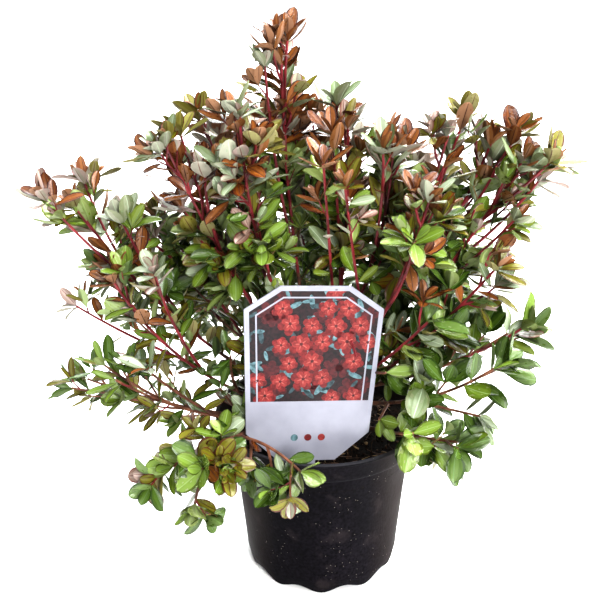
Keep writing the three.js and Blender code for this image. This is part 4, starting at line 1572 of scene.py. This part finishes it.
def growAlong(rng, path, first, last, spacing, youth, size):
    # Single leaves up a stem or twig, each a golden turn from the last
    path = np.asarray(path)
    lengths = np.concatenate([[0], np.cumsum(np.linalg.norm(np.diff(path, axis=0), axis=1))])
    total = lengths[-1]
    spacing = spacing * placeStyles[placeName(path[len(path) // 2])]["spacing"] * sizeAt(path[-1])
    count = int((last - first) * total / spacing + rng.random())
    firstTurn = rng.uniform(0, 360)
    for i in range(count):
        place = (first + (last - first) * (i + rng.uniform(0.2, 0.8)) / count) * total
        near = (place, min(place + 2, total), max(place - 2, 0))
        root, ahead, behind = np.stack([np.interp(near, lengths, axis) for axis in path.T], axis=1)
        along = unit(ahead - behind)
        turn = firstTurn + i * growth["goldenTurn"] + rng.normal(0, singleLeaf["turnSpread"])
        way = outFrom(along, turn, singleLeaf["angle"] + rng.normal(0, singleLeaf["angleSpread"]))
        growLeaf(rng, root, way, along, youth * (0.6 + 0.4 * i / count), size)


def bentPath(root, way, length, target, steps=6):
    # A twig that leaves along way and turns towards target as it grows
    path = [root]
    step = length / steps
    for _ in range(steps):
        way = unit(way + target / steps)
        path.append(path[-1] + way * step)
    return path, way


twigForm = {
    "longer": 1.15,  # than the source's twig
    "radius": 0.95,
    "thins": 0.65,
    "whorls": (5, 3),
    "leaves": (0.22, 0.9),  # shares of its length between which single leaves stand
    "spacing": 7,
    "leaf": 20.5,
    "leafRange": (0.88, 1.12),
    "clear": 0.5,
    "redFrom": 190,  # lower ones are brown
    "sideShares": (0.3, 0.5, 0.68),
    "sideChance": 1.15,
    "youthAgainst": 0.75,
    "sideAngle": 50,
    "sideLength": (9, 15),
    "fades": 0.8,  # youth of what grows on a twig, against its own
}
sprayForm = {
    "sourceShare": 0.45,  # of the source's leaf
    "radius": 0.6,
    "thins": 0.6,
    "whorls": (3, 2),
    "leaves": (0.15, 0.85),
    "spacing": 5,
    "leaf": 18.5,
    "steps": 4,
    "rise": 0.5,
    "redFrom": 0.4,  # youth, below which it is green
}


def growSpray(rng, root, way, length, youth):
    # A short side twig: a few leaves and a small tuft, or a single leaf where the plant is open
    if rng.random() > placeStyles[placeName(root)]["sprays"]:
        growLeaf(rng, root, way, way, youth, twigForm["leaf"])
        return
    path, tipWay = bentPath(root, way, length, up * sprayForm["rise"], sprayForm["steps"])
    if stillDistance(path).min() < twigForm["clear"]:
        return
    radius = sprayForm["radius"]
    color = "red" if youth > sprayForm["redFrom"] else "green"
    foliage.addStem(path, (radius, radius * sprayForm["thins"]), stemKinds[color])
    size = sprayForm["leaf"] * rng.uniform(*twigForm["leafRange"])
    growRosette(rng, path[-1], tipWay, youth, size, *sprayForm["whorls"])
    growAlong(rng, path, *sprayForm["leaves"], sprayForm["spacing"], youth * twigForm["fades"], size)


def growTwig(rng, root, way, length, youth, target):
    path, tipWay = bentPath(root, way, length, target)
    if stillDistance(path).min() < twigForm["clear"]:
        return
    radius = twigForm["radius"]
    color = "brown" if root[2] < twigForm["redFrom"] else "red"
    foliage.addStem(path, (radius, radius * twigForm["thins"]), stemKinds[color])
    size = twigForm["leaf"] * rng.uniform(*twigForm["leafRange"])
    growRosette(rng, path[-1], tipWay, youth, size, *twigForm["whorls"])
    growAlong(rng, path, *twigForm["leaves"], twigForm["spacing"], youth * twigForm["fades"], size)
    for share in twigForm["sideShares"]:
        if rng.random() < twigForm["sideChance"] - youth * twigForm["youthAgainst"]:
            index = int(share * (len(path) - 1))
            along = unit(path[index + 1] - path[index])
            side = outFrom(along, rng.uniform(0, 360), twigForm["sideAngle"])
            growSpray(rng, path[index], side, rng.uniform(*twigForm["sideLength"]), youth * twigForm["fades"])


massForm = {
    "seed": 1000,
    "sourceDraws": 16,  # the source's tip rosette: its first turn, then three draws a leaf
    "lowBelow": 200,
    "rings": 16,
    "shortAbove": 370,
    "shortTip": 0.95,  # of the full length, for shoots taller than that
    "tipSwell": 1.1,
    "shownFrom": 0.4,
    "lowShownFrom": 0.15,
    "youth": 0.97,
    "lowYouth": 0.8,
    "whorls": (6, 4),
    "lastLeaf": 0.95,
    "leafSpacing": 10,
    "leafYouth": 0.8,
    "sprayYouth": (0.2, 0.8),  # where the leaves start, and at the tip
    "twigYouth": (0.4, 0.95),
    "lowOlder": 0.25,
    "leafAbove": 0.55,  # youth, above which the source's leaf stays single
    "rise": 0.4,
    "reach": 0.9,
    "lowReach": 0.35,  # low shoots' twigs turn less towards the tip and the light
}
innerSprays = {
    "from": 0.5, "to": 0.7, "spacing": 6.5, "lowSpacing": 16, "lowest": 138, "length": (11, 22),
    "youth": 0.25, "angle": 58, "angleSpread": 8,
}
shownPaths = []


def growMass(shoot):
    rng = np.random.default_rng(massForm["seed"] + shoot["index"])
    draw = stream(shoot["index"], 1)
    for _ in range(massForm["sourceDraws"]):
        draw()
    firstTurn = draw() * 360
    bare = shoot["bare"]
    low = shoot["high"] < massForm["lowBelow"]
    tipShare = massForm["shortTip"] if shoot["high"] > massForm["shortAbove"] else 1
    stemPath = [curvePoint(shoot, t) for t in np.linspace(bare, tipShare, massForm["rings"])]
    tip = stemPath[-1]
    place = placeName(tip)
    ends = (bark["endRadius"], limb["tipRadius"] * massForm["tipSwell"])
    foliage.addStem(stemPath, ends, stemKinds["brown" if low else "red"])
    if place != "front":
        shownPaths.append((shoot["index"], stemPath, massForm["lowShownFrom" if low else "shownFrom"]))
    size = twigForm["leaf"]
    tipYouth = massForm["lowYouth" if low else "youth"]
    foliage.owner = shoot["index"]
    growRosette(rng, tip, curveWay(shoot, 1), tipYouth, size, *massForm["whorls"])
    leaves = (placeStyles[place]["first"], massForm["lastLeaf"])
    growAlong(rng, stemPath, *leaves, massForm["leafSpacing"], massForm["leafYouth"], size)
    foliage.owner = -1
    for t, root, way, length in sourceStemLeaves(shoot, firstTurn, draw):
        youth = mix(*massForm["sprayYouth"], (t - bare) / (1 - bare))
        if youth > massForm["leafAbove"]:
            growLeaf(rng, root, way, curveWay(shoot, t), youth, size)
        else:
            growSpray(rng, root, way, length * sprayForm["sourceShare"], youth)
    for t, root, way, length in sourceTwigs(shoot, firstTurn):
        youth = mix(*massForm["twigYouth"], (t - bare) / (1 - bare)) - (massForm["lowOlder"] if low else 0)
        target = (curveWay(shoot, t) + up * massForm["rise"]) * massForm["lowReach" if low else "reach"]
        growTwig(rng, root, way, length * twigForm["longer"], youth, target)
    firstShare = bare if low else bare * innerSprays["from"]
    lastShare = mix(bare, 1, innerSprays["to"])
    spacing = innerSprays["spacing" if place in ("dome", "edge", "front") else "lowSpacing"]
    inner = int((lastShare - firstShare) * shoot["length"] / spacing)
    for i in range(inner):
        t = mix(firstShare, lastShare, (i + 0.5) / inner)
        angle = innerSprays["angle"] + rng.normal(0, innerSprays["angleSpread"])
        way = outFrom(curveWay(shoot, t), i * growth["goldenTurn"], angle)
        root = curvePoint(shoot, t)
        if root[2] > innerSprays["lowest"] or low:
            growSpray(rng, root, way, rng.uniform(*innerSprays["length"]), innerSprays["youth"])


# Young red shoots that stand out from the dome: what each grows from and where, its tip's turn, distance
# out and up, how far it bows outwards, and its youth
redShoots = [
    ("leader", 0.42, 196, 35, 362, 6, 0.97),
    ("leader", 0.75, 178, 20, 377, 2, 0.97),
    ("high_left", 0.5, 187, 88, 321, 6, 0.95),
    ("high_left", 0.62, 206, 78, 300, 6, 0.8),
    ("left", 0.62, 187, 175, 282, 8, 0.97),
    ("left", 0.45, 190, 128, 268, 8, 0.75),
    ("left", 0.75, 174, 158, 282, 5, 0.95),
    ("left_middle", 0.6, 172, 136, 258, 5, 0.85),
    ("left_front", 0.6, 187, 163, 208, 6, 0.9),
    ("left_front", 0.5, 212, 118, 248, 8, 0.8),
    ("centre", 0.55, 44, 14, 334, 5, 0.95),
    ("centre", 0.45, 288, 22, 324, 6, 0.9),
    ("centre", 0.3, 272, 50, 312, 10, 0.95),
    ("centre_right", 0.4, 322, 48, 315, 8, 0.95),
    ("right", 0.62, 356, 138, 290, 7, 0.97),
    ("right_high", 0.55, 0, 112, 296, 6, 0.9),
    ("right_high", 0.72, 8, 128, 312, 4, 0.95),
    ("right", 0.8, 350, 142, 306, 3, 0.95),
    ("right", 0.5, 344, 124, 272, 5, 0.85),
    ("high_right", 0.6, 12, 94, 322, 4, 0.95),
    ("high_right", 0.5, 350, 78, 300, 5, 0.9),
    ("front_right", 0.38, 284, 60, 300, -6, 0.9),
    ("front_right", 0.55, 306, 92, 272, 8, 0.8),
    ("right_side", 0.65, 347, 134, 197, 5, 0.85),
    ("low_right", 0.5, 303, 104, 152, 3, 0.6),
    ("right_front", 0.45, 330, 118, 148, 4, 0.6),
    ("low_left_back", 0.7, 187, 172, 147, 4, 0.8),
    ("low_left", 0.7, 200, 149, 181, 5, 0.85),
    ("low_left", 0.5, 212, 128, 186, 5, 0.7),
    ("front_low", 0.4, 306, 70, 178, 4, 0.2),
    ("front_low", 0.3, 292, 52, 196, 5, 0.2),
    ("right_front", 0.35, 318, 78, 158, 3, 0.2),
    ("right_front", 0.3, 305, 66, 142, 0, 0.2),
    ("right_middle", 0.3, 328, 62, 172, 4, 0.2),
    ("left_front", 0.35, 216, 72, 182, 4, 0.2),
    ("left_front", 0.3, 232, 62, 200, 4, 0.2),
    ("low_left", 0.35, 212, 78, 158, 3, 0.2),
    ("low_left", 0.3, 226, 66, 142, 2, 0.2),
    ("front", 0.25, 241, 93, 121, -2, 0.4),
    ("front", 0.5, 252, 95, 120, -2, 0.4),
    ("front_left", 0.78, 233, 130, 108, 3, 0.6),
    ("front_left", 0.8, 241, 112, 134, 4, 0.65),
    ("back_left", 0.6, 128, 100, 300, 8, 0.9),
    ("back_high", 0.6, 84, 84, 306, 8, 0.9),
    ("back_right", 0.6, 62, 102, 296, 8, 0.9),
    ("back_low", 0.6, 100, 118, 240, 8, 0.85),
    ("back_left_low", 0.6, 146, 128, 222, 8, 0.8),
    ("back_right_low", 0.6, 34, 128, 226, 8, 0.8),
]
redForm = {
    "seed": 77,
    "rings": 16,
    "rootRadius": 1.15,
    "tipRadius": 0.8,
    "spacing": 11.5,
    "leaves": (0.35, 0.95),
    "shownFrom": 0.45,
    "leafFades": 0.85,  # youth of what grows on a shoot, against its own
    "sideFades": 0.9,
    "sideShares": (0.72, 0.86),
    "sideAngle": 42,
    "sideLength": (9, 14),
}


def growRedShoots():
    rng = np.random.default_rng(redForm["seed"])
    size = twigForm["leaf"]
    for number, (parent, share, turn, out, high, bow, youth) in enumerate(redShoots):
        owner = 100 + number
        root = curvePoint(grown[parent], share)
        turn = math.radians(turn)
        outwards = np.array([math.cos(turn), math.sin(turn), 0])
        tip = outwards * out + up * high
        curve = {"curve": (root, (root + tip) / 2 + outwards * bow, tip)}
        path = [curvePoint(curve, t) for t in np.linspace(0, 1, redForm["rings"])]
        color = "brown" if tip[2] < twigForm["redFrom"] else "red"
        foliage.addStem(path, (redForm["rootRadius"], redForm["tipRadius"]), stemKinds[color])
        if placeName(tip) != "front":
            shownPaths.append((owner, path, redForm["shownFrom"]))
        foliage.owner = owner
        growRosette(rng, tip, curveWay(curve, 1), youth, size, *massForm["whorls"])
        growAlong(rng, path, *redForm["leaves"], redForm["spacing"], youth * redForm["leafFades"], size)
        foliage.owner = -1
        for share in redForm["sideShares"]:
            side = outFrom(curveWay(curve, share), rng.uniform(0, 360), redForm["sideAngle"])
            length = rng.uniform(*redForm["sideLength"])
            growSpray(rng, curvePoint(curve, share), side, length, youth * redForm["sideFades"])


for shoot in shootList:
    growMass(shoot)
growRedShoots()
report(f"growth of {sum(len(rows) for rows in foliage.leaves.values())} leaves")

openWay = {"viewer": (3.6, -612, 467), "nearest": 1.5, "farthest": 28, "beside": 2.8, "backFrom": 30}
leafClear = {"points": [(0.15, 0), (0.55, 0), (1.0, 0), (0.6, 0.5), (0.6, -0.5)], "least": -2.5}


def openShoots(rows):
    # Leaves of other twigs that would lie close in front of a red shoot are left out, so that it shows
    centres = rows[:, 0:3, None] + rows[:, 3:6, None] * rows[:, 9, None, None] * np.array([0.25, 0.5, 0.8])
    keep = np.ones(len(rows), bool)
    for owner, path, first in shownPaths:
        path = np.asarray(path)
        path = path[int(first * len(path)):]
        side = -1 if path[-1][1] > openWay["backFrom"] else 1
        viewer = np.array(openWay["viewer"]) * (1, side, 1)
        fine = np.concatenate([path, (path[1:] + path[:-1]) / 2])
        for place in fine:
            ray = unit(viewer - place)
            apart = centres - place[None, :, None]
            before = (apart * ray[None, :, None]).sum(1)
            beside = np.linalg.norm(apart - before[:, None] * ray[None, :, None], axis=1)
            hides = (before > openWay["nearest"]) & (before < openWay["farthest"])
            hides &= beside < openWay["beside"]
            keep &= ~(hides.any(1) & (rows[:, 16] != owner))
    return rows[keep]


def clearLeaves(rows):
    # Leaves that would run into the pot, the peat or the label are left out
    root, along, face = rows[:, 0:3], rows[:, 3:6], rows[:, 6:9]
    length, width = rows[:, 9:10], rows[:, 10:11]
    across = np.cross(face, along)
    across /= np.linalg.norm(across, axis=1)[:, None]
    keep = np.ones(len(rows), bool)
    for x, y in leafClear["points"]:
        still = stillDistance(root + along * length * x + across * width * y, True)
        keep &= still > leafClear["least"]
    return rows[keep]


def leafPoints(rows):
    # Every leaf's points at once, first in its own frame, then set in its place
    form = leafForm
    stations, outline = form["outline"].T
    length, width, bend, fold, twist, lop = (rows[:, k, None] for k in range(9, 15))
    half = outline[None] * width / 2
    slope = -bend * (stations[None] - form["bendFrom"])
    middle = (slope[:, 1:] + slope[:, :-1]) / 2
    steps = np.diff(stations)[None] * length
    start = np.zeros((len(rows), 1))
    x = np.concatenate([start, np.cumsum(np.cos(middle) * steps, 1)], 1)[..., None]
    z = np.concatenate([start, np.cumsum(np.sin(middle) * steps, 1)], 1)[..., None]
    slope = slope[..., None]
    half = half[..., None]
    v = form["across"][None, None]
    y = half * v * (1 + lop[..., None] * v)
    rise = np.abs(v) * (1 - form["foldRound"] * np.abs(v)) * half * fold[..., None] * form["foldDepth"]
    rise = rise - form["groove"] * half * (np.abs(v) < form["ribHalf"])
    waves = np.where(np.arange(len(stations)) % 2, 1, -1)[None, :, None]
    rise = rise + form["quilt"] * half * waves * (np.abs(np.abs(v) - form["quiltAt"]) < 0.1)
    inner = form["inner"]
    y = np.concatenate([y, y[..., inner]], -1)
    rise = np.concatenate([rise, rise[..., inner] - form["thickness"]], -1)
    turn = twist[..., None] * stations[None, :, None]
    y, rise = y * np.cos(turn) - rise * np.sin(turn), y * np.sin(turn) + rise * np.cos(turn)
    localX = x - np.sin(slope) * rise
    localZ = z + np.cos(slope) * rise
    root, along, face = rows[:, 0:3], rows[:, 3:6], rows[:, 6:9]
    side = np.cross(face, along)
    side /= np.linalg.norm(side, axis=1)[:, None]
    top = np.cross(along, side)
    points = root[:, None, None] + localX[..., None] * along[:, None, None]
    return points + y[..., None] * side[:, None, None] + localZ[..., None] * top[:, None, None]


# A leaf's strips, each between two of a station's points: 0 upper face, 1 next to its rib, 2 underside,
# 3 next to its rib, 4 margin, 5 ribs
leafStrips = [
    (0, 1, 4), (1, 2, 0), (2, 3, 1), (3, 4, 5), (4, 5, 1), (5, 6, 0), (6, 7, 4),
    (8, 0, 2), (9, 8, 3), (10, 9, 5), (11, 10, 3), (7, 11, 2),
]
leafRing = [0, 1, 2, 3, 4, 5, 6, 7, 11, 10, 9, 8]


def leafFaces():
    # Corners, sizes and parts of one leaf's faces: its strips, then its two ends
    ring = len(leafRing)
    last = len(leafForm["outline"]) - 2
    corners, sizes, parts = [], [], []
    for i in range(last + 1):
        here = i * ring
        for a, b, part in leafStrips:
            corners += [here + a, here + ring + a, here + ring + b, here + b]
            sizes.append(4)
            parts.append(4 if part == 0 and i == last else part)
    corners += leafRing
    corners += [(last + 1) * ring + k for k in reversed(leafRing)]
    return np.array(corners), np.array(sizes + [ring, ring]), np.array(parts + [4, 4])


def leafMaterials(kind):
    values = leafKinds[kind]
    gloss = values["gloss"]
    named = [(f"{kind}Leaf{i}", color, gloss, 0.5) for i, color in enumerate(values["top"])]
    named += [(f"{kind}Underside{i}", color, 0.55, 0.25) for i, color in enumerate(values["under"])]
    named += [(f"{kind}Margin", values["margin"], gloss, 0.5), (f"{kind}Rib", values["rib"], 0.5, 0.3)]
    made = []
    for name, color, rough, specular in named:
        material, tree, shader = newMaterial(name, rough, specular)
        shader.inputs["Base Color"].default_value = (*color, 1)
        addBump(tree, shader, strength=0.35, distance=0.0006, scale=650)
        made.append(material)
    return made


massNames = [f"mass_{shoot['name']}" for shoot in shootList]


def buildLeaves():
    corners, sizes, parts = leafFaces()
    pointCount = len(leafRing) * len(leafForm["outline"])
    limit = leafForm["pieceLimit"]
    total = 0
    for kind, found in foliage.leaves.items():
        rows = openShoots(clearLeaves(np.array(found)))
        materials = leafMaterials(kind)
        for number, first in enumerate(range(0, len(rows), limit)):
            chunk = rows[first:first + limit]
            points = leafPoints(chunk).reshape(-1, 3) * mm
            count = len(chunk)
            allCorners = (corners[None] + np.arange(count)[:, None] * pointCount).ravel()
            tints = chunk[:, 15:16].astype(int)
            lighter = np.minimum(tints + 1, 2)
            index = np.choose(parts[None], [tints, lighter, tints + 3, lighter + 3, 6, 7]).ravel()
            piece = buildMesh(f"leaves_{kind}_{number + 1}", points, allCorners, np.tile(sizes, count), index)
            smoothByAngle(piece, leafForm["smooth"])
            finishPiece(piece, "foliage", materials, *massNames)
            total += count
    return total


report(f"{buildLeaves()} leaves built")

youngRelief = {"strength": 0.2, "distance": 0.0003, "scale": 500, "stretch": (1, 1, 0.4)}
youngTones = {
    # in the order of stemKinds: two colours, the mottle's scale, roughness, specular level
    "redShoot": ((0.07, 0.005, 0.009), (0.2, 0.02, 0.026), 90, (0.38, 0.52), 0.4),
    "greenShoot": ((0.09, 0.05, 0.015), (0.17, 0.11, 0.035), 90, (0.45, 0.6), 0.5),
    "brownShoot": ((0.06, 0.022, 0.012), (0.19, 0.08, 0.045), 120, (0.5, 0.65), 0.3),
}
youngSmooth = 50
stems = foliage.stems.build("red_shoots")
smoothByAngle(stems, youngSmooth)
finishPiece(stems, "bark", mottledMaterials(youngTones, youngRelief), *massNames)
report("red shoots")

bpy.context.view_layer.update()
triangles = 0
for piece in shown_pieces():
    piece.data.calc_loop_triangles()
    triangles += len(piece.data.loop_triangles)
report(f"{triangles} triangles in {len(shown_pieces())} pieces")
